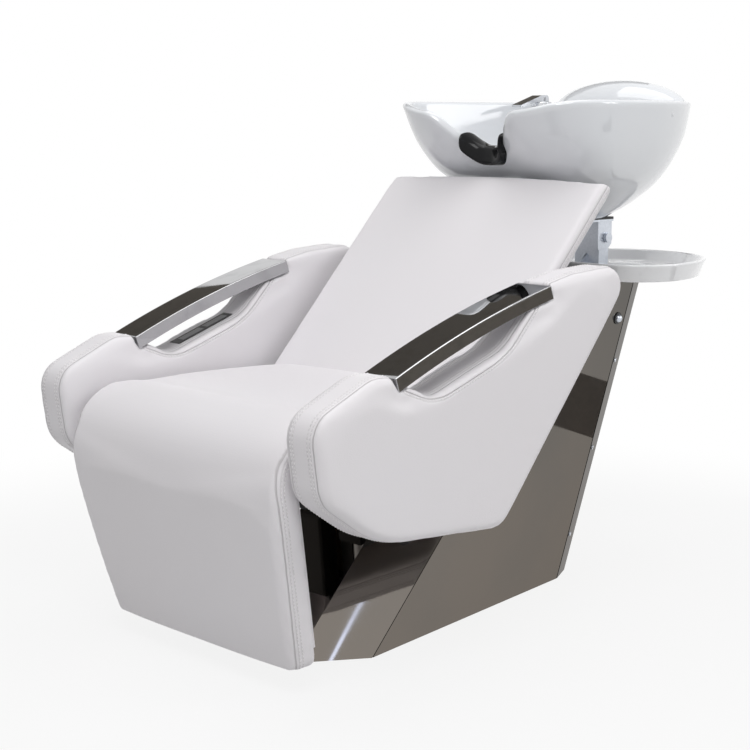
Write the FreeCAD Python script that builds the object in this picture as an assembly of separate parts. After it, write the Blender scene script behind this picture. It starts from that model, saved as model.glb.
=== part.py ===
import FreeCAD, Part
import math
import os
from FreeCAD import Vector

# Salon backwash unit: leaning steel base, upholstered seat, back and arms, powered leg rest, tilting bowl.
# Millimetres, +Z up, +X to the sitter's left, +Y from the seat to the bowl.
# The origin is on the floor, at the middle of the four floor bolts.

# Steel base: an eight-sided plan, narrower to the rear, that leans back as it rises
BASE_HALF = 170.0
BASE_SIDE_FRONT = -255.0
BASE_SIDE_REAR = 358.0
SIDE_TAPER = 0.176
FRONT_CORNER_IN = 72.0
FRONT_CORNER_RUN = 116.0
REAR_CORNER_IN = 32.0
REAR_CORNER_RUN = 60.0
BASE_TOP = 600.0
FRONT_LEAN = 42.6
REAR_LEAN = 12.6
SHEET = 2.0
PANEL_GAP = 3.0
PLATE = 6.0
FIT_CLEAR = 0.2

# Floor fixing, plumbing opening and panel fasteners
FLOOR_BOLT_X = 176.0
FLOOR_BOLT_Y = 240.0
FLOOR_HOLE_R = 5.5
PLUMB_X = 110.0
PLUMB_Y = 150.0
SIDE_BOLT_Z = 526.0
SIDE_BOLT_BACK = 31.0
SIDE_BOLT_LENGTH = 14.0
SIDE_BOLT_R = 4.0
SIDE_BOLT_HEAD_R = 8.0
WASHER_R = 12.0
WASHER_THICK = 2.0
COVER_SCREW_R = 2.0
COVER_SCREW_HEAD_R = 4.5
COVER_SCREW_EDGE = 12.0
COVER_SCREW_LIFT = 0.3
COVER_SCREW_ROWS = 3

# Welded tube
TUBE = 30.0
TUBE_WALL = 2.0
POST_INSET = 23.0
POST_X = BASE_HALF - FRONT_CORNER_IN - POST_INSET
POST_FOOT_REAR = 188.0
PLUG = 24.0
VENT_R = 3.0

# Seat
SEAT_HALF = 280.0
SEAT_TOP = 447.0
SEAT_CROWN = 8.0
SEAT_PAD = 112.0
SEAT_BOARD = 15.0
SEAT_DRAW_IN = 6.0
CREASE_Y = -103.0
CREASE_Z = 441.0
SIDE_RAIL_INSET = 45.0
SIDE_RAIL_X = SEAT_HALF - SIDE_RAIL_INSET
FRONT_CROSS_Y = -355.0
REAR_CROSS_Y = -230.0

# Backrest, parallel to the base's front
BACK_INSET = 8.0
BACK_HALF = SEAT_HALF - BACK_INSET
BACK_TOP = 804.0
BACK_PAD = 27.0
BACK_CROWN = 7.0
BACK_BOARD = 12.0
BACK_FOOT = 10.0
BACK_EDGE = 14.0

# Leg rest: a band of even thickness that wraps the hinge
HINGE_Y = -462.0
HINGE_Z = 354.0
ROLL_R = 100.0
LEG_PAD = 50.0
LEG_LEAN = 13.0
LEG_BOTTOM = 39.0
LEG_OVERHANG = 3.0
LEG_TAPER = 36.0
LEG_HALF_TOP = SEAT_HALF + LEG_OVERHANG
LEG_HALF_BOTTOM = LEG_HALF_TOP - LEG_TAPER
LEG_BOARD = 12.0
LEG_BOARD_EDGE = 22.0
LEG_EDGE = 12.0
ROLL_START = 60.0
LEG_SWING = 70.0
RIB_LENGTH = 235.0
RIB_SHOULDER = 70.0
RIB_SHOULDER_DEPTH = 2.0
RIB_HEEL = 12.0
RIB_TOE = 10.0
STRAP_HALF = 20.0
STRAP_THICK = 4.0
STRAP_START = 40.0
SHAFT_R = 12.0
SHAFT_HALF = 162.0
BUSH_WALL = 3.0
BUSH_LENGTH = 25.0
SLEEVE_WALL = 5.0
SLEEVE_HALF = 142.0
BRACKET_SHEET = 8.0
RUN_CLEAR = 0.05
SIDE_CLEAR = 1.0
SOFT_CLEAR = 0.5

# Leg drive: a linear actuator, its yoke and the crank that it pushes
CRANK = 95.0
CRANK_SHEET = 6.0
CRANK_GAP = 12.0
CRANK_PIN_R = 6.0
PIN_SLACK = 2.2
YOKE_HALF = 8.0
YOKE_RIM = 8.0
DRIVE_BODY_R = 20.0
DRIVE_BODY_LENGTH = 160.0
DRIVE_ROD_R = 10.0
ROD_SHOWN = 24.0
CLAMP_HALF = 32.0
CLAMP_LENGTH = 18.0
CLAMP_DROP = 12.0
GEARBOX_LENGTH = 26.0
MOTOR_R = 20.0
MOTOR_X = 46.0
MOTOR_LENGTH = 95.0
CONTROL_X0 = -208.0
CONTROL_X1 = -104.0
CONTROL_HEIGHT = 38.0
CONTROL_EDGE = 5.0

# Arms
ARM_GAP = 21.0
ARM_THICK = 74.0
ARM_INNER = SEAT_HALF + ARM_GAP
ARM_OUTER = ARM_INNER + ARM_THICK
ARM_EDGE = 12.0
ARM_NOSE_Y = -566.0
ARM_NOSE_Z = 470.0
ARM_NOSE_R = 50.0
ARM_BROW_Y = -440.0
ARM_BROW_Z = 528.0
ARM_BROW_R = 60.0
ARM_CREST_Y = 25.0
ARM_CREST_Z = 657.0
ARM_CREST_R = 60.0
ARM_TAIL_Y = 198.0
ARM_TAIL_Z = 667.0
ARM_TAIL_R = 36.0
ARM_HEEL_Y = -152.0
ARM_HEEL_Z = 243.0
ARM_HEEL_R = 45.0
ARM_BELLY_Y = -430.0
ARM_BELLY_Z = 262.0
ARM_BELLY_R = 200.0
ARM_CHIN_Y = -548.0
ARM_CHIN_Z = 345.0
ARM_CHIN_R = 60.0
ARM_BOLT_R = 5.0
ARM_BOLT_GRIP = 30.0
ARM_BOLT_Y = (-330.0, -190.0)
SPACER_R = 15.0
GRIP_FRONT_Y = -398.0
GRIP_FRONT_Z = 523.0
GRIP_REAR_Y = -40.0
GRIP_REAR_Z = 641.0
GRIP_ARCH = 9.0
GRIP_THICK = 24.0
GRIP_SEAT = 14.0
GRIP_SINK = 4.0
GRIP_CLEAR = 0.3
HOLE_LOW_Y = -318.0
HOLE_LOW_Z = 486.0
HOLE_LOW_R = 28.0
HOLE_HIGH_Y = -150.0
HOLE_HIGH_Z = 545.0
HOLE_HIGH_R = 90.0
HOLE_REAR_Y = -95.0
HOLE_REAR_Z = 598.0
HOLE_REAR_R = 25.0
HOLE_CORNER_R = 3.0
HOLE_STEP = 8.0

# Switch strip in the hand-hole of the arm at the sitter's right
STRIP_LENGTH = 142.0
STRIP_WIDTH = 30.0
STRIP_DEPTH = 10.0
STRIP_PROUD = 1.5
STRIP_SHIFT = 16.0
BUTTON_LENGTH = 52.0
BUTTON_WIDTH = 18.0
BUTTON_THICK = 5.0
BUTTON_TRAVEL = 2.0
BUTTON_CLEAR = 0.4
BUTTON_PITCH = 60.0

# Tray shelf
TRAY_HALF = 228.0
TRAY_FRONT = 400.0
TRAY_MID = 515.0
TRAY_BACK = 766.0
TRAY_CORNER = 110.0
TRAY_HEIGHT = 35.0
TRAY_FLOOR = 9.0
TRAY_WALL = 9.0
TRAY_DRAFT = 14.0

# Tilting bracket
FOOT_HALF = 60.0
FOOT_FRONT = 460.0
FOOT_REAR = 550.0
FOOT_BOLT_X = 92.0
FOOT_BOLT_Y = 54.0
FOOT_BOLT_R = 4.0
FOOT_HEAD_R = 7.0
FOOT_HEAD_HEIGHT = 5.0
CHANNEL_HALF = 31.0
CHANNEL_SHEET = 4.0
CHANNEL_FRONT = 508.0
CHANNEL_REAR = 538.0
CHANNEL_WEB_TOP = 655.0
YOKE_GAP = 0.8
YOKE_WEB_GAP = 5.0
YOKE_LOW = 652.0
TILT_Y = 525.0
TILT_Z = 676.0
TILT_BOLT_R = 6.0
TILT_HEAD_R = 10.0
TILT_HEAD_LENGTH = 7.0
EAR_R = 14.0
SADDLE_TOP = 713.0
SADDLE_HALF = 40.0
SADDLE_FRONT = 450.0
PAD_THICK = 5.0
GUSSET_START = 12.0
GUSSET_HEIGHT = 28.0
YOKE_CORNER = 12.0

# Bowl
RIM_Z = 948.0
BOWL_WALL = 14.0
BOWL_FLOOR = 16.0
NOTCH_Z = 850.0
NOTCH_HALF = 150.0
DECK_THICK = 18.0
DECK_DROP = 20.0
BASIN_Y = 330.0
BASIN_HALF = 222.0
BASIN_REACH = 205.0
HUMP_HEIGHT = 44.0
HUMP_HALF = 165.0
HUMP_DEPTH = 72.0
HUMP_Y = 606.0
WASTE_Y = 422.0
WASTE_R = 20.0
WASTE_TAIL = 55.0
WASTE_WALL = 3.0
WASTE_NUT_R = 26.0
WASTE_NUT_HEIGHT = 5.0
STRAINER_R = 26.0
STRAINER_THICK = 3.0
STRAINER_PLUG = 8.0
STRAINER_HOLE_R = 2.6
STRAINER_RING_R = 10.0
STRAINER_HOLES = 8
NECK_HALF = 46.0
NECK_PAD = 10.0
NECK_SKIRT = 24.0

# Mixer and hose guide on the bowl's deck
MIXER_X = -156.0
MIXER_Y = 540.0
MIXER_R = 21.0
MIXER_HEIGHT = 12.0
MIXER_FLANGE = 5.0
MIXER_FLANGE_HEIGHT = 3.0
CAP_HEIGHT = 9.0
CAP_EDGE = 2.0
CAP_EAR_SHEET = 3.0
CAP_EAR_FOOT = 5.0
CAP_EAR_HEAD = 4.0
CAP_EAR_CLEAR = 0.4
LEVER_RISE = 5.3
LEVER_TAIL = 7.0
LEVER_CREST = 9.0
LEVER_UNDER = 5.0
LEVER_DIP = 12.0
LEVER_TIP = 4.0
LEVER_LENGTH = 78.0
LEVER_HALF = 13.0
LEVER_PIN_R = 2.5
GUIDE_X = 158.0
GUIDE_Y = 542.0
GUIDE_R = 16.0
GUIDE_BORE_R = 10.0
GUIDE_HEIGHT = 8.0


def tan(degrees):
    return math.tan(math.radians(degrees))


def sin(degrees):
    return math.sin(math.radians(degrees))


def cos(degrees):
    return math.cos(math.radians(degrees))


def box(x0, x1, y0, y1, z0, z1):
    return Part.makeBox(x1 - x0, y1 - y0, z1 - z0, Vector(x0, y0, z0))


def rod(start, end, radius):
    along = end - start
    return Part.makeCylinder(radius, along.Length, start, along)


def cross_rod(x0, x1, y, z, radius):
    return rod(Vector(x0, y, z), Vector(x1, y, z), radius)


def upright(x, y, z0, z1, radius):
    return rod(Vector(x, y, z0), Vector(x, y, z1), radius)


def fuse(shapes):
    return shapes[0].multiFuse(shapes[1:]).removeSplitter()


def side_prism(outline, x0, x1):
    points = [Vector(x0, y, z) for y, z in outline]
    face = Part.Face(Part.makePolygon(points + [points[0]]))
    return face.extrude(Vector(x1 - x0, 0, 0))


def rounded_side(corners, x0, x1):
    # Each corner of the side outline is (y, z, radius).
    ends = []
    for i, (y, z, radius) in enumerate(corners):
        here = Vector(x0, y, z)
        before = Vector(x0, *corners[i - 1][:2]) - here
        after = Vector(x0, *corners[(i + 1) % len(corners)][:2]) - here
        half = before.getAngle(after) / 2.0
        before.normalize()
        after.normalize()
        bisector = (before + after).normalize()
        back = radius / math.tan(half)
        middle = here + bisector * (radius / math.sin(half) - radius)
        ends.append((here + before * back, middle, here + after * back))
    edges = []
    for i, (start, middle, end) in enumerate(ends):
        edges.append(Part.Arc(start, middle, end).toShape())
        following = ends[(i + 1) % len(ends)][0]
        edges.append(Part.LineSegment(end, following).toShape())
    return Part.Face(Part.Wire(edges)).extrude(Vector(x1 - x0, 0, 0))


def shield_ring(z, half, y_front, y_mid, y_back, corner):
    # A shield plan: half an ellipse at the back, elliptic corners and a straight front.
    def sweep(x, from_angle, to_angle, semi_x, semi_y):
        points = []
        for step in range(7):
            turn = from_angle + (to_angle - from_angle) * step / 6.0
            points.append(Vector(x + semi_x * cos(turn), y_mid + semi_y * sin(turn), z))
        curve = Part.BSplineCurve()
        curve.interpolate(points)
        return curve.toShape()

    front = half - corner
    return Part.Wire([
        sweep(0, 0, 90, half, y_back - y_mid),
        sweep(0, 90, 180, half, y_back - y_mid),
        sweep(-front, 180, 270, corner, y_mid - y_front),
        Part.LineSegment(Vector(-front, y_front, z), Vector(front, y_front, z)).toShape(),
        sweep(front, 270, 360, corner, y_mid - y_front),
    ])


# Base


def front_side(z):
    return BASE_SIDE_FRONT + z * tan(FRONT_LEAN)


def rear_side(z):
    return BASE_SIDE_REAR + z * tan(REAR_LEAN)


def front_face(z):
    return front_side(z) - FRONT_CORNER_RUN


def rear_face(z):
    return rear_side(z) + REAR_CORNER_RUN


def side_half(y, z):
    # Each side panel is one plane: full width along its front edge, drawn in evenly towards the rear.
    return BASE_HALF - SIDE_TAPER * (y - front_side(z))


def front_half(z):
    return BASE_HALF


def rear_half(z):
    return side_half(rear_side(z), z)


def lean_prism(plan, z0, z1):
    # plan(z) gives the corners of the plan at that height.
    wires = []
    for z in (z0, z1):
        points = [Vector(x, y, z) for x, y in plan(z)]
        wires.append(Part.makePolygon(points + [points[0]]))
    return Part.makeLoft(wires, True, True)


def inset_corner(before, corner, after, inset):
    # The corner of an outline that runs anticlockwise, moved in from both its sides.
    ahead = Vector(after[0] - corner[0], after[1] - corner[1], 0).normalize()
    behind = Vector(corner[0] - before[0], corner[1] - before[1], 0).normalize()
    inward = Vector(-ahead.y - behind.y, ahead.x + behind.x, 0)
    inward = inward * (inset / (1 + ahead.dot(behind)))
    return corner[0] + inward.x, corner[1] + inward.y


def outer_plan(z):
    right = [
        (BASE_HALF - FRONT_CORNER_IN, front_face(z)),
        (BASE_HALF, front_side(z)),
        (rear_half(z), rear_side(z)),
        (rear_half(z) - REAR_CORNER_IN, rear_face(z)),
    ]
    return right + [(-x, y) for x, y in reversed(right)]


def inner_plan(z):
    # The plan inside the sheet, with room for the plates to drop in.
    outer = outer_plan(z)
    following = outer[1:] + outer[:1]
    return [inset_corner(outer[i - 1], outer[i], following[i], SHEET + FIT_CLEAR) for i in range(len(outer))]


def foot_bolt_places():
    middle = (FOOT_FRONT + FOOT_REAR) / 2
    return [(x, middle + y) for x in (-FOOT_BOLT_X / 2, FOOT_BOLT_X / 2) for y in (-FOOT_BOLT_Y / 2, FOOT_BOLT_Y / 2)]


def floor_plate():
    plate = lean_prism(inner_plan, 0, PLATE)
    for x in (-FLOOR_BOLT_X / 2, FLOOR_BOLT_X / 2):
        for y in (-FLOOR_BOLT_Y / 2, FLOOR_BOLT_Y / 2):
            plate = plate.cut(upright(x, y, -1, PLATE + 1, FLOOR_HOLE_R))
    return plate.cut(box(-PLUMB_X / 2, PLUMB_X / 2, -PLUMB_Y / 2, PLUMB_Y / 2, -1, PLATE + 1))


def top_plate():
    plate = lean_prism(inner_plan, BASE_TOP - PLATE, BASE_TOP)
    for x, y in foot_bolt_places():
        plate = plate.cut(upright(x, y, BASE_TOP - PLATE - 1, BASE_TOP + 1, FOOT_BOLT_R + FIT_CLEAR))
    return plate


SIDE_BOLT_Y = rear_side(SIDE_BOLT_Z) - SIDE_BOLT_BACK


def side_bolt_axis(side):
    # The bolt's place on the outer face of the side panel, and the panel's outward normal.
    point = Vector(side * side_half(SIDE_BOLT_Y, SIDE_BOLT_Z), SIDE_BOLT_Y, SIDE_BOLT_Z)
    outward = Vector(side, SIDE_TAPER, -SIDE_TAPER * tan(FRONT_LEAN)).normalize()
    return point, outward


def side_bolt_hole(side):
    point, outward = side_bolt_axis(side)
    return rod(point - outward * (SIDE_BOLT_LENGTH + 2), point + outward * 3 * WASHER_THICK, SIDE_BOLT_R + FIT_CLEAR)


def side_panel(side):
    def plan(z):
        front = front_side(z) + PANEL_GAP
        rear = rear_side(z) - PANEL_GAP
        edge = [(side_half(front, z), front), (side_half(rear, z), rear)]
        inner = [(x - SHEET, y) for x, y in reversed(edge)]
        return [(side * x, y) for x, y in edge + inner]

    return lean_prism(plan, 0, BASE_TOP).cut(side_bolt_hole(side))


def folded_sheet(face, side, half, corner_in, run, inward):
    # A sheet folded round one end of the base; inward is +1 where its inside looks to +Y.
    slope = math.hypot(corner_in, run)

    def plan(z):
        nose = half(z) - corner_in
        right = [
            (half(z) - SHEET * slope / run, side(z)),
            (half(z), side(z)),
            (nose, face(z)),
        ]
        inner = (nose - SHEET * (slope - corner_in) / run, face(z) + inward * SHEET)
        left = [(-x, y) for x, y in reversed(right)]
        return right + left + [(-inner[0], inner[1]), inner]

    return lean_prism(plan, 0, BASE_TOP)


def front_panel():
    return folded_sheet(front_face, front_side, front_half, FRONT_CORNER_IN, FRONT_CORNER_RUN, 1)


def cover_screw_axes():
    slope = math.hypot(REAR_CORNER_IN, REAR_CORNER_RUN)
    flare = (rear_half(BASE_TOP) - rear_half(0)) / BASE_TOP
    for row in range(COVER_SCREW_ROWS):
        z = SIDE_BOLT_Z * (row + 0.5) / COVER_SCREW_ROWS
        for side in (-1, 1):
            along = Vector(-side * REAR_CORNER_IN, REAR_CORNER_RUN, 0) * (1.0 / slope)
            rising = Vector(side * flare, tan(REAR_LEAN), 1)
            outward = (along.cross(rising) * side).normalize()
            yield Vector(side * rear_half(z), rear_side(z), z) + along * COVER_SCREW_EDGE, outward


def rear_cover():
    cover = folded_sheet(rear_face, rear_side, rear_half, REAR_CORNER_IN, REAR_CORNER_RUN, -1)
    for point, outward in cover_screw_axes():
        cover = cover.cut(rod(point - outward * 3 * SHEET, point + outward * SHEET, COVER_SCREW_R + FIT_CLEAR))
    return cover


def cover_screws():
    screws = []
    for point, outward in cover_screw_axes():
        shank = rod(point - outward * 3 * SHEET, point + outward * SHEET, COVER_SCREW_R)
        head = rod(point + outward * COVER_SCREW_LIFT, point + outward * (COVER_SCREW_LIFT + SHEET), COVER_SCREW_HEAD_R)
        screws.append(fuse([shank, head]))
    return Part.makeCompound(screws)


def side_bolts():
    bolts = []
    for side in (-1, 1):
        point, outward = side_bolt_axis(side)
        seat = point + outward * WASHER_THICK
        shank = rod(point - outward * SIDE_BOLT_LENGTH, seat + outward, SIDE_BOLT_R)
        dome = Part.makeSphere(SIDE_BOLT_HEAD_R, seat, outward, 0, 90, 360)
        bolts.append(fuse([shank, dome]))
    return Part.makeCompound(bolts)


def side_washers():
    washers = []
    for side in (-1, 1):
        point, outward = side_bolt_axis(side)
        disc = rod(point, point + outward * WASHER_THICK, WASHER_R)
        washers.append(disc.cut(side_bolt_hole(side)))
    return Part.makeCompound(washers)


POST_LEAN = math.degrees(math.atan2(SIDE_BOLT_Y + TUBE / 2 - POST_FOOT_REAR, SIDE_BOLT_Z))


def rear_post_face(z):
    # The rear posts start where the plan is still wide enough and lean back to the side bolts.
    return POST_FOOT_REAR + z * tan(POST_LEAN)


def front_post_face(z):
    return front_face(z) + SHEET + 2 * FIT_CLEAR


def lean_tube(face, inward, side):
    # An upright tube behind a leaning face: its outside and its hollow.
    def plan(wall):
        def corners(z):
            near = face(z) + inward * wall
            far = face(z) + inward * (TUBE - wall)
            x0 = side * POST_X - TUBE / 2 + wall
            x1 = side * POST_X + TUBE / 2 - wall
            return [(x0, near), (x1, near), (x1, far), (x0, far)]
        return corners

    low, high = PLATE, BASE_TOP - PLATE
    return lean_prism(plan(0), low, high), lean_prism(plan(TUBE_WALL), low, high)


def straight_tube(x0, x1, y0, y1, z0, z1, along):
    # A rectangular tube along "x" or "y" with open ends and a drain hole below.
    outer = box(x0, x1, y0, y1, z0, z1)
    w = TUBE_WALL
    if along == "x":
        inner = box(x0, x1, y0 + w, y1 - w, z0 + w, z1 - w)
    else:
        inner = box(x0 + w, x1 - w, y0, y1, z0 + w, z1 - w)
    drain = upright((x0 + x1) / 2, (y0 + y1) / 2, z0 - 1, z0 + 2 * w, VENT_R)
    return outer.cut(inner).cut(drain)


def base_frame():
    # Posts, top rails and cross ties as full bars first; then their hollows are cut from the whole.
    bars = []
    hollows = []
    half = TUBE / 2
    w = TUBE_WALL
    rail_low = BASE_TOP - PLATE - TUBE
    for side in (-1, 1):
        x = side * POST_X
        for face, inward in ((front_post_face, 1), (rear_post_face, -1)):
            outer, inner = lean_tube(face, inward, side)
            bars.append(outer)
            hollows.append(inner)
        y0 = front_post_face(rail_low + TUBE)
        y1 = rear_post_face(rail_low) - TUBE / 2
        bars.append(box(x - half, x + half, y0, y1, rail_low, rail_low + TUBE))
        hollows.append(box(x - half + w, x + half - w, y0 + TUBE, y1 - TUBE, rail_low + w, rail_low + TUBE - w))
        hollows.append(upright(x, (y0 + y1) / 2, rail_low - 1, rail_low + 2 * w, VENT_R))
    reach = POST_X - half + w
    for y in (front_post_face(PLATE + TUBE) + half, rear_post_face(PLATE) - half):
        bars.append(box(-reach, reach, y - half, y + half, PLATE, PLATE + TUBE))
        hollows.append(box(-reach + 2 * w, reach - 2 * w, y - half + w, y + half - w, PLATE + w, PLATE + TUBE - w))
        hollows.append(upright(0, y, PLATE + TUBE - 2 * w, PLATE + TUBE + 1, VENT_R))
    cross = box(-BASE_HALF, BASE_HALF, SIDE_BOLT_Y - half, SIDE_BOLT_Y + half, SIDE_BOLT_Z - half, SIDE_BOLT_Z + half)
    bars.append(cross.common(lean_prism(inner_plan, PLATE, BASE_TOP)))
    plug_in = side_half(SIDE_BOLT_Y, SIDE_BOLT_Z) - PLUG
    hollows.append(box(-plug_in, plug_in, SIDE_BOLT_Y - half + w, SIDE_BOLT_Y + half - w, SIDE_BOLT_Z - half + w,
                       SIDE_BOLT_Z + half - w))
    hollows.append(upright(0, SIDE_BOLT_Y, SIDE_BOLT_Z - half - 1, SIDE_BOLT_Z, VENT_R))
    hollows += [side_bolt_hole(side) for side in (-1, 1)]
    return fuse(bars).cut(fuse(hollows))


# Seat and back


def back_front(z):
    # The backrest's front plane, parallel to the base's front.
    return CREASE_Y + (z - CREASE_Z) * tan(FRONT_LEAN)


BACK_PAD_RUN = BACK_PAD / cos(FRONT_LEAN)
BACK_BOARD_RUN = BACK_BOARD / cos(FRONT_LEAN)
BOARD_TOP = SEAT_TOP - SEAT_PAD
BOARD_LOW = BOARD_TOP - SEAT_BOARD
RAIL_LOW = BOARD_LOW - TUBE
BACK_LOW = BOARD_TOP + BACK_FOOT


def back_rail(side):
    def corners(wall):
        def plan(z):
            near = back_front(z) + BACK_PAD_RUN + BACK_BOARD_RUN + wall
            far = front_face(z) - wall
            x0 = side * POST_X - TUBE / 2 + wall
            x1 = side * POST_X + TUBE / 2 - wall
            return [(x0, near), (x1, near), (x1, far), (x0, far)]
        return plan

    top = BASE_TOP
    return lean_prism(corners(0), RAIL_LOW, top), lean_prism(corners(TUBE_WALL), RAIL_LOW, top)


def hinge_bracket(side):
    x0 = side * (SLEEVE_HALF + SIDE_CLEAR)
    x1 = side * (SLEEVE_HALF + SIDE_CLEAR + BRACKET_SHEET)
    boss_r = SHAFT_R + 2 * BUSH_WALL
    back = FRONT_CROSS_Y - TUBE / 2
    arm = side_prism([
        (back, BOARD_LOW - TUBE_WALL),
        (back, RAIL_LOW),
        (HINGE_Y - boss_r * sin(30), HINGE_Z - boss_r * cos(30)),
        (HINGE_Y + boss_r * sin(30), HINGE_Z),
    ], x0, x1)
    boss = cross_rod(x0, x1, HINGE_Y, HINGE_Z, boss_r)
    return arm, boss


def seat_frame():
    rails = []
    backs = [back_rail(side) for side in (-1, 1)]
    half = TUBE / 2
    for side, (outer, inner) in zip((-1, 1), backs):
        x = side * POST_X
        rail = straight_tube(x - half, x + half, FRONT_CROSS_Y + half, front_face(RAIL_LOW), RAIL_LOW, BOARD_LOW, "y")
        rails.append(max(rail.cut(outer).Solids, key=lambda s: -s.BoundBox.YMin))
        rails.append(outer.cut(inner))
        x = side * SIDE_RAIL_X
        rails.append(straight_tube(x - half, x + half, FRONT_CROSS_Y + half, REAR_CROSS_Y - half, RAIL_LOW, BOARD_LOW,
                                   "y"))
    reach = SIDE_RAIL_X + half
    rails.append(straight_tube(-reach, reach, FRONT_CROSS_Y - half, FRONT_CROSS_Y + half, RAIL_LOW, BOARD_LOW, "x"))
    inner_x = POST_X - half
    outer_x = POST_X + half
    rear = (REAR_CROSS_Y - half, REAR_CROSS_Y + half, RAIL_LOW, BOARD_LOW, "x")
    rails.append(straight_tube(-inner_x, inner_x, *rear))
    rails.append(straight_tube(outer_x, reach, *rear))
    rails.append(straight_tube(-reach, -outer_x, *rear))
    for side in (-1, 1):
        rails += hinge_bracket(side)
    frame = fuse(rails)
    for side in (-1, 1):
        for y in ARM_BOLT_Y:
            frame = frame.cut(cross_rod(side * (SIDE_RAIL_X - TUBE), side * (SIDE_RAIL_X + TUBE), y, ARM_BOLT_Z,
                                        ARM_BOLT_R + FIT_CLEAR))
    return frame.cut(cross_rod(-SHAFT_HALF, SHAFT_HALF, HINGE_Y, HINGE_Z, SHAFT_R))


ARM_BOLT_Z = (RAIL_LOW + BOARD_LOW) / 2


def seat_board():
    rear = back_front(BOARD_LOW) - SOFT_CLEAR
    front = HINGE_Y + ROLL_R + 2 * SOFT_CLEAR
    return box(-SEAT_HALF + SEAT_DRAW_IN, SEAT_HALF - SEAT_DRAW_IN, front, rear, BOARD_LOW, BOARD_TOP)


def crowned_profile(half, low, top, crown, draw_in, place):
    # A pad's cross-section: flat base, sides drawn in at the seams, crowned top.
    base_left = place(-half + draw_in, low)
    base_right = place(half - draw_in, low)
    top_left = place(-half + draw_in, top)
    top_right = place(half - draw_in, top)
    middle = (low + top) / 2
    return Part.Face(Part.Wire([
        Part.LineSegment(base_left, base_right).toShape(),
        Part.Arc(base_right, place(half, middle), top_right).toShape(),
        Part.Arc(top_right, place(0, top + crown), top_left).toShape(),
        Part.Arc(top_left, place(-half, middle), base_left).toShape(),
    ]))


def seat_cushion():
    front = HINGE_Y
    face = crowned_profile(SEAT_HALF, BOARD_TOP, SEAT_TOP, SEAT_CROWN, SEAT_DRAW_IN,
                           lambda x, z: Vector(x, front, z))
    pad = face.extrude(Vector(0, CREASE_Y - front, 0))
    roll = cross_rod(-SEAT_HALF - 1, SEAT_HALF + 1, HINGE_Y, HINGE_Z, ROLL_R + SOFT_CLEAR)
    lip = HINGE_Y + ROLL_R * cos(ROLL_START + 8)
    over = box(-SEAT_HALF - 1, SEAT_HALF + 1, front - 1, lip, BOARD_TOP - 1, SEAT_TOP + 2 * SEAT_CROWN)
    high = SEAT_TOP + 2 * SEAT_CROWN
    swell = (BACK_CROWN + SOFT_CLEAR) / cos(FRONT_LEAN)
    behind = side_prism([
        (back_front(BOARD_TOP - 1) - swell, BOARD_TOP - 1),
        (back_front(high) - swell, high),
        (CREASE_Y + SEAT_PAD, high),
        (CREASE_Y + SEAT_PAD, BOARD_TOP - 1),
    ], -SEAT_HALF - 1, SEAT_HALF + 1)
    return pad.cut(roll).cut(over).cut(behind)


def lean_slab(half, near, far, low, high):
    # A flat slab parallel to the backrest, between two distances behind its front plane.
    run_near = near / cos(FRONT_LEAN)
    run_far = far / cos(FRONT_LEAN)

    def plan(z):
        return [(-half, back_front(z) + run_near), (half, back_front(z) + run_near),
                (half, back_front(z) + run_far), (-half, back_front(z) + run_far)]
    return lean_prism(plan, low, high)


def back_board():
    top = BACK_TOP - BACK_EDGE - BACK_BOARD
    return lean_slab(BACK_HALF - BACK_EDGE, BACK_PAD, BACK_PAD + BACK_BOARD, BACK_LOW, top)


def back_cushion():
    # Drawn flat, then leaned back: x across, y up the backrest, z out of its face.
    length = (BACK_TOP - BACK_LOW) / cos(FRONT_LEAN)
    face = crowned_profile(BACK_HALF, -BACK_PAD, 0, BACK_CROWN, SEAT_DRAW_IN, lambda x, z: Vector(x, 0, z))
    pad = face.extrude(Vector(0, length, 0))
    top_edges = [e for e in pad.Edges if e.BoundBox.YMin > length - 0.01 and e.BoundBox.ZMin > -0.1]
    pad = pad.makeFillet(BACK_EDGE, top_edges)
    pad.rotate(Vector(0, 0, 0), Vector(1, 0, 0), 90 - FRONT_LEAN)
    pad.translate(Vector(0, back_front(BACK_LOW), BACK_LOW))
    below = box(-BACK_HALF - 1, BACK_HALF + 1, CREASE_Y - BACK_HALF, CREASE_Y + BACK_HALF, 0, BACK_LOW)
    return pad.cut(below)


# Leg rest


def leg_point(depth, down):
    # A point beside the leg panel: depth from the hinge towards the panel's front, and a distance down it.
    return (HINGE_Y - depth * cos(LEG_LEAN) + down * sin(LEG_LEAN),
            HINGE_Z - depth * sin(LEG_LEAN) - down * cos(LEG_LEAN))


LEG_LENGTH = (HINGE_Z - LEG_BOTTOM - ROLL_R * sin(LEG_LEAN)) / cos(LEG_LEAN)


def leg_band(inner_r, outer_r, length, half):
    # The band's section wraps the hinge and runs down the leg; it is drawn at one side and run across.
    def on_roll(radius, angle):
        return Vector(-half, HINGE_Y + radius * cos(angle), HINGE_Z + radius * sin(angle))

    def on_leg(depth, down):
        y, z = leg_point(depth, down)
        return Vector(-half, y, z)

    middle = (ROLL_START + 180 + LEG_LEAN) / 2
    outer_start = on_roll(outer_r, ROLL_START)
    inner_start = on_roll(inner_r, ROLL_START)
    wire = Part.Wire([
        Part.Arc(outer_start, on_roll(outer_r, middle), on_leg(outer_r, 0)).toShape(),
        Part.LineSegment(on_leg(outer_r, 0), on_leg(outer_r, length)).toShape(),
        Part.LineSegment(on_leg(outer_r, length), on_leg(inner_r, length)).toShape(),
        Part.LineSegment(on_leg(inner_r, length), on_leg(inner_r, 0)).toShape(),
        Part.Arc(on_leg(inner_r, 0), on_roll(inner_r, middle), inner_start).toShape(),
        Part.LineSegment(inner_start, outer_start).toShape(),
    ])
    return Part.Face(wire).extrude(Vector(2 * half, 0, 0))


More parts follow.
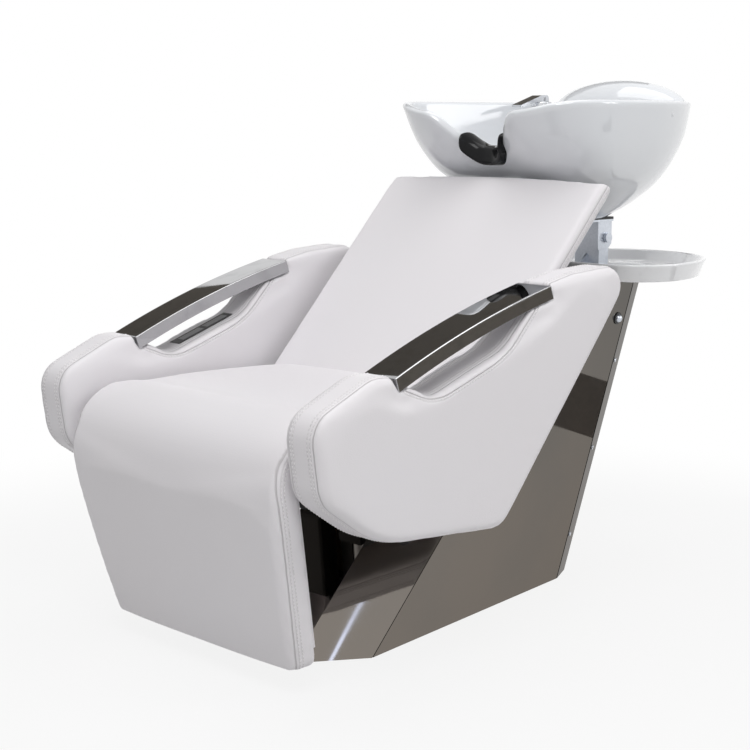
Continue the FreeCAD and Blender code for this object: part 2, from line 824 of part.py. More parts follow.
def leg_sides(inset):
    # The wedge-shaped front view of the leg rest, narrower at the foot.
    top = HINGE_Z - ROLL_R * sin(LEG_LEAN)
    high = HINGE_Z + 2 * ROLL_R
    low = LEG_BOTTOM - ROLL_R
    fall = (LEG_HALF_TOP - LEG_HALF_BOTTOM) / (top - LEG_BOTTOM)
    bottom = LEG_HALF_BOTTOM - fall * (LEG_BOTTOM - low) - inset
    points = [(LEG_HALF_TOP - inset, high), (LEG_HALF_TOP - inset, top), (bottom, low)]
    points += [(-x, z) for x, z in reversed(points)]
    corners = [Vector(x, HINGE_Y - 4 * ROLL_R, z) for x, z in points]
    face = Part.Face(Part.makePolygon(corners + [corners[0]]))
    return face.extrude(Vector(0, 8 * ROLL_R, 0))


def leg_cushion():
    band = leg_band(ROLL_R - LEG_PAD, ROLL_R, LEG_LENGTH, LEG_HALF_TOP).common(leg_sides(0))
    front = []
    for edge in band.Edges:
        middle = edge.valueAt((edge.FirstParameter + edge.LastParameter) / 2)
        away = Vector(0, middle.y - HINGE_Y, middle.z - HINGE_Z)
        out = leg_point(ROLL_R, 0)
        face_dist = (middle.y - out[0]) * -cos(LEG_LEAN) + (middle.z - out[1]) * -sin(LEG_LEAN)
        on_roll = abs(away.Length - ROLL_R) < 0.1
        on_face = abs(face_dist) < 0.1
        if (on_roll or on_face) and abs(middle.x) > LEG_HALF_BOTTOM - 1:
            front.append(edge)
    return band.makeFillet(LEG_EDGE, front)


def leg_board():
    outer = ROLL_R - LEG_PAD
    band = leg_band(outer - LEG_BOARD, outer, LEG_LENGTH - LEG_BOARD_EDGE, LEG_HALF_TOP)
    return band.common(leg_sides(LEG_BOARD_EDGE))


SLEEVE_IN_R = SHAFT_R + RUN_CLEAR + BUSH_WALL
SLEEVE_OUT_R = SLEEVE_IN_R + SLEEVE_WALL
BOARD_BACK = ROLL_R - LEG_PAD - LEG_BOARD


def crank_pin(angle):
    # The crank's pin, at an angle from straight down towards the sitter's feet.
    return Vector(0, HINGE_Y - CRANK * sin(angle), HINGE_Z - CRANK * cos(angle))


def leg_frame():
    sleeve = cross_rod(-SLEEVE_HALF, SLEEVE_HALF, HINGE_Y, HINGE_Z, SLEEVE_OUT_R)
    parts = [sleeve]
    rib = [
        leg_point(-RIB_HEEL, STRAP_THICK),
        leg_point(BOARD_BACK, 0),
        leg_point(BOARD_BACK, RIB_LENGTH),
        leg_point(BOARD_BACK - RIB_TOE, RIB_LENGTH),
        leg_point(RIB_SHOULDER_DEPTH, RIB_SHOULDER),
    ]
    strap = [
        leg_point(BOARD_BACK - STRAP_THICK, STRAP_START),
        leg_point(BOARD_BACK, STRAP_START),
        leg_point(BOARD_BACK, RIB_LENGTH),
        leg_point(BOARD_BACK - STRAP_THICK, RIB_LENGTH),
    ]
    for side in (-1, 1):
        x = side * (SLEEVE_HALF - BUSH_LENGTH)
        parts.append(side_prism(rib, x - CRANK_SHEET / 2, x + CRANK_SHEET / 2))
        parts.append(side_prism(strap, x - STRAP_HALF, x + STRAP_HALF))
    pin = crank_pin(-LEG_SWING / 2)
    along = Vector(0, pin.y - HINGE_Y, pin.z - HINGE_Z).normalize()
    across = Vector(0, -along.z, along.y)
    for side in (-1, 1):
        x0, x1 = sorted((side * CRANK_GAP, side * (CRANK_GAP + CRANK_SHEET)))
        hub = Vector(x0, HINGE_Y, HINGE_Z)
        tip = Vector(x0, pin.y, pin.z)
        wide = across * SLEEVE_OUT_R
        thin = across * 2 * CRANK_PIN_R
        points = [hub + wide, tip + thin, tip - thin, hub - wide]
        face = Part.Face(Part.makePolygon(points + [points[0]]))
        parts.append(face.extrude(Vector(x1 - x0, 0, 0)))
        parts.append(cross_rod(x0, x1, pin.y, pin.z, 2 * CRANK_PIN_R))
    reach = CRANK_GAP + CRANK_SHEET
    parts.append(cross_rod(-reach, reach, pin.y, pin.z, CRANK_PIN_R))
    frame = fuse(parts)
    bore = cross_rod(-SLEEVE_HALF - 1, SLEEVE_HALF + 1, HINGE_Y, HINGE_Z, SLEEVE_IN_R)
    return frame.cut(bore)


def hinge_shaft():
    return cross_rod(-SHAFT_HALF, SHAFT_HALF, HINGE_Y, HINGE_Z, SHAFT_R)


def hinge_bushes():
    bushes = []
    for side in (-1, 1):
        x0 = side * (SLEEVE_HALF - BUSH_LENGTH)
        x1 = side * SLEEVE_HALF
        outer = cross_rod(x0, x1, HINGE_Y, HINGE_Z, SLEEVE_IN_R)
        bushes.append(outer.cut(cross_rod(x0 - side, x1 + side, HINGE_Y, HINGE_Z, SHAFT_R + RUN_CLEAR)))
    return Part.makeCompound(bushes)


# Leg drive

DRIVE_Z = HINGE_Z - CRANK * (1 + cos(LEG_SWING / 2)) / 2
YOKE_Y = HINGE_Y + CRANK * sin(LEG_SWING / 2)
YOKE_WIDE = CRANK_PIN_R + PIN_SLACK + YOKE_RIM
YOKE_RISE = CRANK * (1 - cos(LEG_SWING / 2)) / 2 + PIN_SLACK
DRIVE_FRONT = YOKE_Y + YOKE_WIDE + ROD_SHOWN
DRIVE_REAR = DRIVE_FRONT + DRIVE_BODY_LENGTH
ROD_BORE_R = DRIVE_ROD_R + RUN_CLEAR


def slot_bar(radius, half_x):
    # An upright slot shape round the yoke's middle.
    low = DRIVE_Z - YOKE_RISE
    high = DRIVE_Z + YOKE_RISE
    return fuse([
        cross_rod(-half_x, half_x, YOKE_Y, low, radius),
        cross_rod(-half_x, half_x, YOKE_Y, high, radius),
        box(-half_x, half_x, YOKE_Y - radius, YOKE_Y + radius, low, high),
    ])


def drive_rod():
    end = DRIVE_REAR - GEARBOX_LENGTH
    bar = rod(Vector(0, YOKE_Y + YOKE_WIDE - 2, DRIVE_Z), Vector(0, end, DRIVE_Z), DRIVE_ROD_R)
    head = slot_bar(YOKE_WIDE, YOKE_HALF)
    return fuse([bar, head]).cut(slot_bar(CRANK_PIN_R + PIN_SLACK, YOKE_HALF + 1))


def drive_body():
    body = rod(Vector(0, DRIVE_FRONT, DRIVE_Z), Vector(0, DRIVE_REAR, DRIVE_Z), DRIVE_BODY_R)
    bore_end = DRIVE_REAR - GEARBOX_LENGTH / 2
    return body.cut(rod(Vector(0, DRIVE_FRONT - 1, DRIVE_Z), Vector(0, bore_end, DRIVE_Z), ROD_BORE_R))


def drive_motor():
    low = DRIVE_Z - DRIVE_BODY_R
    high = DRIVE_Z + DRIVE_BODY_R
    gearbox = box(-DRIVE_BODY_R, MOTOR_X + MOTOR_R, DRIVE_REAR, DRIVE_REAR + GEARBOX_LENGTH, low, high)
    upright_edges = [e for e in gearbox.Edges if abs(e.BoundBox.YLength - GEARBOX_LENGTH) < 0.01]
    gearbox = gearbox.makeFillet(GEARBOX_LENGTH / 3, upright_edges)
    motor = rod(Vector(MOTOR_X, DRIVE_REAR - MOTOR_LENGTH, DRIVE_Z), Vector(MOTOR_X, DRIVE_REAR, DRIVE_Z), MOTOR_R)
    return fuse([gearbox, motor])


def drive_clamps():
    clamps = []
    for y in (FRONT_CROSS_Y, REAR_CROSS_Y):
        block = box(-CLAMP_HALF, CLAMP_HALF / 1.3, y - CLAMP_LENGTH / 2, y + CLAMP_LENGTH / 2,
                    DRIVE_Z - DRIVE_BODY_R - CLAMP_DROP, RAIL_LOW)
        bore = rod(Vector(0, y - CLAMP_LENGTH, DRIVE_Z), Vector(0, y + CLAMP_LENGTH, DRIVE_Z), DRIVE_BODY_R + FIT_CLEAR)
        clamps.append(block.cut(bore))
    return Part.makeCompound(clamps)


def control_box():
    case = box(CONTROL_X0, CONTROL_X1, FRONT_CROSS_Y - TUBE / 2, REAR_CROSS_Y + TUBE / 2, RAIL_LOW - CONTROL_HEIGHT,
               RAIL_LOW)
    edges = [e for e in case.Edges if e.BoundBox.ZMax < RAIL_LOW - 0.1]
    return case.makeFillet(CONTROL_EDGE, edges)


# Arms, drawn in side view


def arm_blank(x0, x1):
    outline = [
        (ARM_NOSE_Y, ARM_NOSE_Z, ARM_NOSE_R),
        (ARM_BROW_Y, ARM_BROW_Z, ARM_BROW_R),
        (GRIP_FRONT_Y, GRIP_FRONT_Z + GRIP_SINK, GRIP_SEAT),
        (GRIP_REAR_Y, GRIP_REAR_Z + GRIP_SINK, ARM_CREST_R),
        (ARM_CREST_Y, ARM_CREST_Z, ARM_CREST_R),
        (ARM_TAIL_Y, ARM_TAIL_Z, ARM_TAIL_R),
        (ARM_HEEL_Y, ARM_HEEL_Z, ARM_HEEL_R),
        (ARM_BELLY_Y, ARM_BELLY_Z, ARM_BELLY_R),
        (ARM_CHIN_Y, ARM_CHIN_Z, ARM_CHIN_R),
    ]
    blank = rounded_side(outline, x0, x1)
    rims = [e for e in blank.Edges if e.BoundBox.XLength < 0.01]
    return blank.makeFillet(ARM_EDGE, rims)


HOLE_SLOPE = math.degrees(math.atan2(HOLE_HIGH_Z - HOLE_LOW_Z, HOLE_HIGH_Y - HOLE_LOW_Y))


def hand_hole(x0, x1):
    front = GRIP_FRONT_Y + GRIP_SEAT
    rear = GRIP_REAR_Y - 2 * GRIP_SEAT
    above = GRIP_REAR_Z + 4 * GRIP_THICK
    return rounded_side([
        (front, GRIP_FRONT_Z - HOLE_STEP, HOLE_CORNER_R),
        (HOLE_LOW_Y, HOLE_LOW_Z, HOLE_LOW_R),
        (HOLE_HIGH_Y, HOLE_HIGH_Z, HOLE_HIGH_R),
        (HOLE_REAR_Y, HOLE_REAR_Z, HOLE_REAR_R),
        (rear, GRIP_REAR_Z - GRIP_THICK / 2, HOLE_CORNER_R),
        (rear, above, HOLE_CORNER_R),
        (front, above, HOLE_CORNER_R),
    ], x0, x1)


def grip_bar(x0, x1, clear):
    # A gently arched flat bar; clear grows it into its own seat in the arm.
    chord = Vector(0, GRIP_REAR_Y - GRIP_FRONT_Y, GRIP_REAR_Z - GRIP_FRONT_Z)
    along = Vector(chord).normalize()
    up = Vector(0, -along.z, along.y)
    front = Vector(x0, GRIP_FRONT_Y, GRIP_FRONT_Z) - along * clear
    rear = Vector(x0, GRIP_REAR_Y, GRIP_REAR_Z) + along * clear
    middle = (front + rear) * 0.5 + up * GRIP_ARCH
    lift = up * (clear * 100)
    drop = up * (GRIP_THICK + clear)
    wire = Part.Wire([
        Part.Arc(front + lift, middle + lift, rear + lift).toShape(),
        Part.LineSegment(rear + lift, rear - drop).toShape(),
        Part.Arc(rear - drop, middle - drop, front - drop).toShape(),
        Part.LineSegment(front - drop, front + lift).toShape(),
    ])
    return Part.Face(wire).extrude(Vector(x1 - x0, 0, 0))


def arm_span(side):
    return (ARM_INNER, ARM_OUTER) if side > 0 else (-ARM_OUTER, -ARM_INNER)


def strip_frame(shape):
    # Takes a shape drawn flat, y along the strip and z out of it, to its place in the arm.
    centre_y = (HOLE_LOW_Y + HOLE_HIGH_Y) / 2 + STRIP_SHIFT
    centre_z = HOLE_LOW_Z + (centre_y - HOLE_LOW_Y) * tan(HOLE_SLOPE)
    shape.rotate(Vector(0, 0, 0), Vector(1, 0, 0), HOLE_SLOPE)
    shape.translate(Vector(-(ARM_INNER + ARM_OUTER) / 2, centre_y, centre_z))
    return shape


def strip_box(half_x, half_y, low, high, shift=0.0):
    return box(-half_x, half_x, shift - half_y, shift + half_y, low, high)


def arm(side):
    x0, x1 = arm_span(side)
    body = arm_blank(x0, x1).cut(hand_hole(x0 - 1, x1 + 1)).cut(grip_bar(x0 - 1, x1 + 1, GRIP_CLEAR))
    for y in ARM_BOLT_Y:
        body = body.cut(cross_rod(side * (ARM_INNER - 1), side * (ARM_INNER + ARM_BOLT_GRIP), y, ARM_BOLT_Z,
                                  ARM_BOLT_R + FIT_CLEAR))
    if side < 0:
        pocket = strip_box(STRIP_WIDTH / 2 + FIT_CLEAR, STRIP_LENGTH / 2 + FIT_CLEAR, -STRIP_DEPTH, 4 * STRIP_DEPTH)
        body = body.cut(strip_frame(pocket))
    return body


def arm_grip(side):
    x0, x1 = arm_span(side)
    bar = grip_bar(x0, x1, 0)
    rims = [e for e in bar.Edges if e.BoundBox.XLength < 0.01 and e.BoundBox.YLength > 10 * GRIP_SEAT]
    return bar.makeFillet(GRIP_THICK / 6, rims)


def arm_spacers():
    spacers = []
    for side in (-1, 1):
        x0 = side * (SIDE_RAIL_X + TUBE / 2)
        x1 = side * ARM_INNER
        for y in ARM_BOLT_Y:
            body = cross_rod(x0, x1, y, ARM_BOLT_Z, SPACER_R)
            spacers.append(body.cut(cross_rod(x0 - side, x1 + side, y, ARM_BOLT_Z, ARM_BOLT_R + FIT_CLEAR)))
    return Part.makeCompound(spacers)


def arm_bolts():
    bolts = []
    for side in (-1, 1):
        head_x = side * (SIDE_RAIL_X - TUBE / 2)
        tip_x = side * (ARM_INNER + ARM_BOLT_GRIP - 1)
        for y in ARM_BOLT_Y:
            shank = cross_rod(head_x, tip_x, y, ARM_BOLT_Z, ARM_BOLT_R)
            head = cross_rod(head_x - side * ARM_BOLT_R, head_x, y, ARM_BOLT_Z, 1.7 * ARM_BOLT_R)
            bolts.append(fuse([shank, head]))
    return Part.makeCompound(bolts)


def switch_bezel():
    bezel = strip_box(STRIP_WIDTH / 2, STRIP_LENGTH / 2, -STRIP_DEPTH, STRIP_PROUD)
    rims = [e for e in bezel.Edges if e.BoundBox.ZMin > STRIP_PROUD - 0.01]
    bezel = bezel.makeFillet(STRIP_PROUD * 0.8, rims)
    well_low = STRIP_PROUD - BUTTON_THICK - BUTTON_TRAVEL - BUTTON_CLEAR
    for shift in (-BUTTON_PITCH / 2, BUTTON_PITCH / 2):
        bezel = bezel.cut(strip_box(BUTTON_WIDTH / 2 + BUTTON_CLEAR, BUTTON_LENGTH / 2 + BUTTON_CLEAR, well_low,
                                    2 * STRIP_PROUD, shift))
    return strip_frame(bezel)


def switch_button(shift):
    low = STRIP_PROUD - BUTTON_THICK + BUTTON_CLEAR
    button = strip_box(BUTTON_WIDTH / 2, BUTTON_LENGTH / 2, low, low + BUTTON_THICK, shift)
    rims = [e for e in button.Edges if e.BoundBox.ZMin > low + BUTTON_THICK - 0.01]
    return strip_frame(button.makeFillet(BUTTON_THICK / 4, rims))


# Tray shelf and tilting bracket

TRAY_TOP = BASE_TOP + TRAY_HEIGHT
TRAY_DECK = BASE_TOP + TRAY_FLOOR


def tray_ring(z, inset):
    return shield_ring(z, TRAY_HALF - inset, TRAY_FRONT + inset, TRAY_MID, TRAY_BACK - inset, TRAY_CORNER - inset / 2)


def top_tray():
    outer = Part.makeLoft([tray_ring(BASE_TOP, TRAY_DRAFT), tray_ring(TRAY_TOP, 0)], True, True)
    inner = Part.makeLoft([tray_ring(TRAY_DECK, TRAY_DRAFT + TRAY_WALL), tray_ring(TRAY_TOP, TRAY_WALL)], True, True)
    tray = outer.cut(inner)
    for x, y in foot_bolt_places():
        tray = tray.cut(upright(x, y, BASE_TOP - 1, TRAY_DECK + 1, FOOT_BOLT_R + FIT_CLEAR))
    return tray


FOOT_TOP = TRAY_DECK + PLATE


def bracket_foot():
    half = CHANNEL_HALF
    inner = half - CHANNEL_SHEET
    parts = [
        box(-FOOT_HALF, FOOT_HALF, FOOT_FRONT, FOOT_REAR, TRAY_DECK, FOOT_TOP),
        box(-half, half, CHANNEL_FRONT, CHANNEL_FRONT + CHANNEL_SHEET, FOOT_TOP, CHANNEL_WEB_TOP),
        side_prism([(FOOT_FRONT + GUSSET_START, FOOT_TOP), (CHANNEL_FRONT, FOOT_TOP),
                    (CHANNEL_FRONT, FOOT_TOP + GUSSET_HEIGHT)],
                   -CHANNEL_SHEET / 2, CHANNEL_SHEET / 2),
    ]
    for side in (-1, 1):
        x0, x1 = sorted((side * inner, side * half))
        ear = [
            (CHANNEL_FRONT, FOOT_TOP),
            (CHANNEL_REAR, FOOT_TOP),
            (CHANNEL_REAR, TILT_Z),
            (TILT_Y - EAR_R, TILT_Z),
            (CHANNEL_FRONT, CHANNEL_WEB_TOP),
        ]
        parts.append(side_prism(ear, x0, x1))
        parts.append(cross_rod(x0, x1, TILT_Y, TILT_Z, EAR_R))
    foot = fuse(parts)
    foot = foot.cut(cross_rod(-half - 1, half + 1, TILT_Y, TILT_Z, TILT_BOLT_R + RUN_CLEAR))
    for x, y in foot_bolt_places():
        foot = foot.cut(upright(x, y, TRAY_DECK - 1, FOOT_TOP + 1, FOOT_BOLT_R + FIT_CLEAR))
    return foot


def foot_bolts():
    bolts = []
    for x, y in foot_bolt_places():
        shank = upright(x, y, BASE_TOP - 3 * PLATE, FOOT_TOP, FOOT_BOLT_R)
        head = upright(x, y, FOOT_TOP, FOOT_TOP + FOOT_HEAD_HEIGHT, FOOT_HEAD_R)
        nut = upright(x, y, BASE_TOP - PLATE - FOOT_HEAD_HEIGHT, BASE_TOP - PLATE, FOOT_HEAD_R)
        bolts.append(fuse([shank, head, nut]))
    return Part.makeCompound(bolts)


YOKE_IN = CHANNEL_HALF + YOKE_GAP
YOKE_OUT = YOKE_IN + CHANNEL_SHEET
YOKE_FRONT = CHANNEL_FRONT - YOKE_WEB_GAP - CHANNEL_SHEET
YOKE_REAR = CHANNEL_REAR + CHANNEL_SHEET
SADDLE_LOW = SADDLE_TOP - CHANNEL_SHEET


def bracket_yoke():
    web = box(-YOKE_OUT, YOKE_OUT, YOKE_FRONT, YOKE_FRONT + CHANNEL_SHEET, YOKE_LOW, SADDLE_LOW)
    saddle = box(-SADDLE_HALF, SADDLE_HALF, SADDLE_FRONT, YOKE_REAR, SADDLE_LOW, SADDLE_TOP)
    parts = [web, saddle]
    for side in (-1, 1):
        x0, x1 = sorted((side * YOKE_IN, side * YOKE_OUT))
        cheek = [
            (YOKE_FRONT, YOKE_LOW),
            (YOKE_REAR - YOKE_CORNER, YOKE_LOW),
            (YOKE_REAR, YOKE_LOW + YOKE_CORNER),
            (YOKE_REAR, SADDLE_LOW),
            (YOKE_FRONT, SADDLE_LOW),
        ]
        parts.append(side_prism(cheek, x0, x1))
    yoke = fuse(parts)
    return yoke.cut(cross_rod(-YOKE_OUT - 1, YOKE_OUT + 1, TILT_Y, TILT_Z, TILT_BOLT_R + RUN_CLEAR))


def tilt_bolt():
    end = YOKE_OUT + YOKE_GAP / 2
    shank = cross_rod(-end, end, TILT_Y, TILT_Z, TILT_BOLT_R)
    heads = [cross_rod(side * end, side * (end + TILT_HEAD_LENGTH), TILT_Y, TILT_Z, TILT_HEAD_R) for side in (-1, 1)]
    return fuse([shank] + heads)


BOWL_LOW = SADDLE_TOP + PAD_THICK


def bowl_pad():
    return box(-SADDLE_HALF, SADDLE_HALF, SADDLE_FRONT, YOKE_REAR, SADDLE_TOP, BOWL_LOW)


# Bowl

BOWL_LEVELS = (
    # height above the bottom, half width, front, widest line, back, corner
    (0.0, 62.0, 385.0, 440.0, 540.0, 40.0),
    (24.0, 112.0, 340.0, 420.0, 580.0, 62.0),
    (58.0, 172.0, 284.0, 372.0, 624.0, 80.0),
    (88.0, 210.0, 250.0, 325.0, 656.0, 92.0),
    (128.0, 230.0, 202.0, 305.0, 692.0, 124.0),
    (166.0, 240.0, 168.0, 290.0, 719.0, 148.0),
    (RIM_Z - BOWL_LOW, 250.0, 132.0, 275.0, 737.0, 165.0),
)


def bowl_solid(inset, floor):
    rings = []
    for rise, half, front, middle, back, corner in BOWL_LEVELS:
        z = BOWL_LOW + max(rise, floor * (1 + rise / (RIM_Z - BOWL_LOW)))
        if floor and rise == BOWL_LEVELS[-1][0]:
            z = RIM_Z + 1
        rings.append(shield_ring(z, half - inset, front + inset, middle, back - inset, corner - inset / 2))
    return Part.makeLoft(rings, True, False)


def notch_height(x):
    return NOTCH_Z + (RIM_Z - NOTCH_Z) * (1 - cos(180.0 * min(abs(x) / NOTCH_HALF, 1))) / 2


def notch_band(half, steps, low, high, y0, y1):
    # A strip that follows the neck cut-out, between two offsets from its edge.
    def line(offset):
        points = [Vector(half * i / steps, y0, notch_height(half * i / steps) + offset) for i in range(-steps, steps + 1)]
        curve = Part.BSplineCurve()
        curve.interpolate(points)
        return curve.toShape(), points[0], points[-1]

    lower, low_left, low_right = line(low)
    upper, high_left, high_right = line(high)
    wire = Part.Wire([
        lower,
        Part.LineSegment(low_right, high_right).toShape(),
        upper,
        Part.LineSegment(high_left, low_left).toShape(),
    ])
    return Part.Face(wire).extrude(Vector(0, y1 - y0, 0))


NECK_FRONT = BOWL_LEVELS[-3][2]
DECK_TOP = RIM_Z - DECK_DROP


def bowl():
    outer = bowl_solid(0, 0)
    shell = outer.cut(bowl_solid(BOWL_WALL, BOWL_FLOOR))
    slab = box(-2 * BASIN_HALF, 2 * BASIN_HALF, BASIN_Y, 2 * HUMP_Y, DECK_TOP - DECK_THICK, DECK_TOP)
    basin = Part.Ellipse(Vector(0, BASIN_Y, DECK_TOP - 2 * DECK_THICK), BASIN_HALF, BASIN_REACH).toShape()
    basin = Part.Face(Part.Wire([basin])).extrude(Vector(0, 0, 4 * DECK_THICK))
    deck = outer.common(slab).cut(basin)
    stretch = FreeCAD.Matrix()
    stretch.scale(HUMP_HALF, HUMP_DEPTH, HUMP_HEIGHT + DECK_DROP)
    hump = Part.makeSphere(1.0).transformGeometry(stretch)
    hump.translate(Vector(0, HUMP_Y, DECK_TOP))
    lid = box(-2 * HUMP_HALF, 2 * HUMP_HALF, 0, 2 * HUMP_Y, DECK_TOP - DECK_THICK / 2, RIM_Z + 2 * HUMP_HEIGHT)
    body = shell.fuse(deck).fuse(hump.common(lid))
    notch = notch_band(NOTCH_HALF, 8, 0, RIM_Z, 0, BASIN_Y)
    waste = upright(0, WASTE_Y, BOWL_LOW - 1, BOWL_LOW + 2 * BOWL_FLOOR, WASTE_R)
    hose = upright(GUIDE_X, GUIDE_Y, DECK_TOP - 2 * DECK_THICK, DECK_TOP + 1, GUIDE_BORE_R)
    return body.cut(notch).cut(waste).cut(hose)


def neck_rest(basin):
    strip = notch_band(NECK_HALF, 4, -NECK_SKIRT, NECK_PAD, NECK_FRONT - NECK_PAD, NECK_FRONT + 2 * BOWL_WALL + NECK_PAD)
    pad = strip.cut(basin)
    return max(pad.Solids, key=lambda s: s.Volume)


def waste_fitting():
    low = BOWL_LOW - WASTE_TAIL
    nut = upright(0, WASTE_Y, BOWL_LOW - WASTE_NUT_HEIGHT, BOWL_LOW, WASTE_NUT_R)
    tail = upright(0, WASTE_Y, low, BOWL_LOW + BOWL_FLOOR, WASTE_R - FIT_CLEAR)
    bore = upright(0, WASTE_Y, low - 1, BOWL_LOW + BOWL_FLOOR + 1, WASTE_R - WASTE_WALL)
    return fuse([nut, tail]).cut(bore)


def strainer():
    low = BOWL_LOW + BOWL_FLOOR + FIT_CLEAR
    disc = upright(0, WASTE_Y, low, low + STRAINER_THICK, STRAINER_R)
    plug = upright(0, WASTE_Y, low - STRAINER_PLUG, low, WASTE_R - WASTE_WALL - 2 * FIT_CLEAR)
    body = fuse([disc, plug])
    for i in range(STRAINER_HOLES):
        turn = 360.0 * i / STRAINER_HOLES
        x = STRAINER_RING_R * cos(turn)
        y = WASTE_Y + STRAINER_RING_R * sin(turn)
        body = body.cut(upright(x, y, low - STRAINER_PLUG - 1, low + STRAINER_THICK + 1, STRAINER_HOLE_R))
    return body


# Mixer and hose guide

CAP_LOW = DECK_TOP + MIXER_HEIGHT + RUN_CLEAR
CAP_TOP = CAP_LOW + CAP_HEIGHT
LEVER_Z = CAP_TOP + LEVER_RISE


def mixer_body():
    base = upright(MIXER_X, MIXER_Y, DECK_TOP, DECK_TOP + MIXER_FLANGE_HEIGHT, MIXER_R + MIXER_FLANGE)
    barrel = upright(MIXER_X, MIXER_Y, DECK_TOP, DECK_TOP + MIXER_HEIGHT, MIXER_R)
    return fuse([base, barrel])


def mixer_cap():
    cap = upright(MIXER_X, MIXER_Y, CAP_LOW, CAP_TOP, MIXER_R)
    top = [e for e in cap.Edges if e.BoundBox.ZMin > CAP_TOP - 0.01]
    parts = [cap.makeFillet(CAP_EDGE, top)]
    ear_gap = LEVER_HALF + CAP_EAR_CLEAR
    reach = ear_gap + CAP_EAR_SHEET
    for side in (-1, 1):
        x0, x1 = sorted((MIXER_X + side * ear_gap, MIXER_X + side * reach))
        ear = [
            (MIXER_Y - CAP_EAR_FOOT, CAP_TOP - 1),
            (MIXER_Y + CAP_EAR_FOOT, CAP_TOP - 1),
            (MIXER_Y + CAP_EAR_HEAD, LEVER_Z + CAP_EAR_HEAD),
            (MIXER_Y - CAP_EAR_HEAD, LEVER_Z + CAP_EAR_HEAD),
        ]
        parts.append(side_prism(ear, x0, x1))
    parts.append(cross_rod(MIXER_X - reach, MIXER_X + reach, MIXER_Y, LEVER_Z, LEVER_PIN_R))
    return fuse(parts)


def mixer_lever():
    tip = LEVER_LENGTH
    side = [
        (LEVER_TAIL, -1),
        (LEVER_TAIL, LEVER_CREST - 3),
        (LEVER_TAIL - LEVER_UNDER, LEVER_CREST),
        (-2 * LEVER_TAIL, LEVER_CREST - 1),
        (-tip, -LEVER_DIP),
        (-tip, -LEVER_DIP - LEVER_TIP),
        (-2 * LEVER_DIP, -LEVER_UNDER),
        (LEVER_UNDER - 2 * LEVER_TIP, -LEVER_UNDER),
    ]
    lever = side_prism([(MIXER_Y + y, LEVER_Z + z) for y, z in side], MIXER_X - LEVER_HALF, MIXER_X + LEVER_HALF)
    bore = cross_rod(MIXER_X - 2 * LEVER_HALF, MIXER_X + 2 * LEVER_HALF, MIXER_Y, LEVER_Z, LEVER_PIN_R + RUN_CLEAR)
    return lever.cut(bore)


def hose_guide():
    high = DECK_TOP + GUIDE_HEIGHT
    ring = upright(GUIDE_X, GUIDE_Y, DECK_TOP, high, GUIDE_R)
    top = [e for e in ring.Edges if e.BoundBox.ZMin > high - 1]
    ring = ring.makeFillet(GUIDE_HEIGHT / 2, top)
    return ring.cut(upright(GUIDE_X, GUIDE_Y, DECK_TOP - 1, high + 1, GUIDE_BORE_R))


def write(name, shape):
    shape.exportStep("parts/" + name + ".step")


os.makedirs("parts", exist_ok=True)
write("floor_plate", floor_plate())
write("base_frame", base_frame())
write("side_panel_left", side_panel(1))
write("side_panel_right", side_panel(-1))
write("front_panel", front_panel())
write("rear_cover", rear_cover())
write("top_plate", top_plate())
write("cover_screws", cover_screws())
write("side_bolts", side_bolts())
write("side_washers", side_washers())
write("seat_frame", seat_frame())
write("seat_board", seat_board())
write("seat_cushion", seat_cushion())
write("back_board", back_board())
write("back_cushion", back_cushion())
write("leg_frame", leg_frame())
write("leg_board", leg_board())
write("leg_cushion", leg_cushion())
write("hinge_shaft", hinge_shaft())
write("hinge_bushes", hinge_bushes())
write("drive_rod", drive_rod())
write("drive_body", drive_body())
write("drive_motor", drive_motor())
write("drive_clamps", drive_clamps())
write("control_box", control_box())
for hand, side in (("left", 1), ("right", -1)):
    write("arm_" + hand, arm(side))
    write("arm_grip_" + hand, arm_grip(side))
write("arm_spacers", arm_spacers())
write("arm_bolts", arm_bolts())
write("switch_bezel", switch_bezel())
write("button_up", switch_button(BUTTON_PITCH / 2))
write("button_down", switch_button(-BUTTON_PITCH / 2))
write("top_tray", top_tray())
write("bracket_foot", bracket_foot())
write("foot_bolts", foot_bolts())
write("bracket_yoke", bracket_yoke())
write("tilt_bolt", tilt_bolt())
write("bowl_pad", bowl_pad())
basin = bowl()
write("bowl", basin)
write("neck_rest", neck_rest(basin))
write("waste_fitting", waste_fitting())
write("strainer", strainer())
write("mixer_body", mixer_body())
write("mixer_cap", mixer_cap())
write("mixer_lever", mixer_lever())
write("hose_guide", hose_guide())
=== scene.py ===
import math

import bmesh
import bpy
import numpy as np
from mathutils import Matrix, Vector
from mathutils.bvhtree import BVHTree
from mathutils.kdtree import KDTree


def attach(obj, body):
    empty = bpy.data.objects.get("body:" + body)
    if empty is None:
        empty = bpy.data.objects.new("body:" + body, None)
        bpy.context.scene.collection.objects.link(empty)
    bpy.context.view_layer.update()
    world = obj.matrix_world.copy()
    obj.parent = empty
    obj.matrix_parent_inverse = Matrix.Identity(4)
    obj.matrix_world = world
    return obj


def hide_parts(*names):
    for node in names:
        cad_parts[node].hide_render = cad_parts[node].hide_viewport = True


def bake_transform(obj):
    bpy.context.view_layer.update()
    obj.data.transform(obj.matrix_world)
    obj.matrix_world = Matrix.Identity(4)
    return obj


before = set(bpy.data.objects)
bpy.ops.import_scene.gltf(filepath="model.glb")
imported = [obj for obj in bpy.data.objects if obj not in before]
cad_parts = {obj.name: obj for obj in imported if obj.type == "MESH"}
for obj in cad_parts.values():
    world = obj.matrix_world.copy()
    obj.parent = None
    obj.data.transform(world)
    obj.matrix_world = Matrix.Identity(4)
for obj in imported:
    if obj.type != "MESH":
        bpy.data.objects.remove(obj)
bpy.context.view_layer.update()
scene = bpy.context.scene
scene.view_settings.view_transform = "Standard"

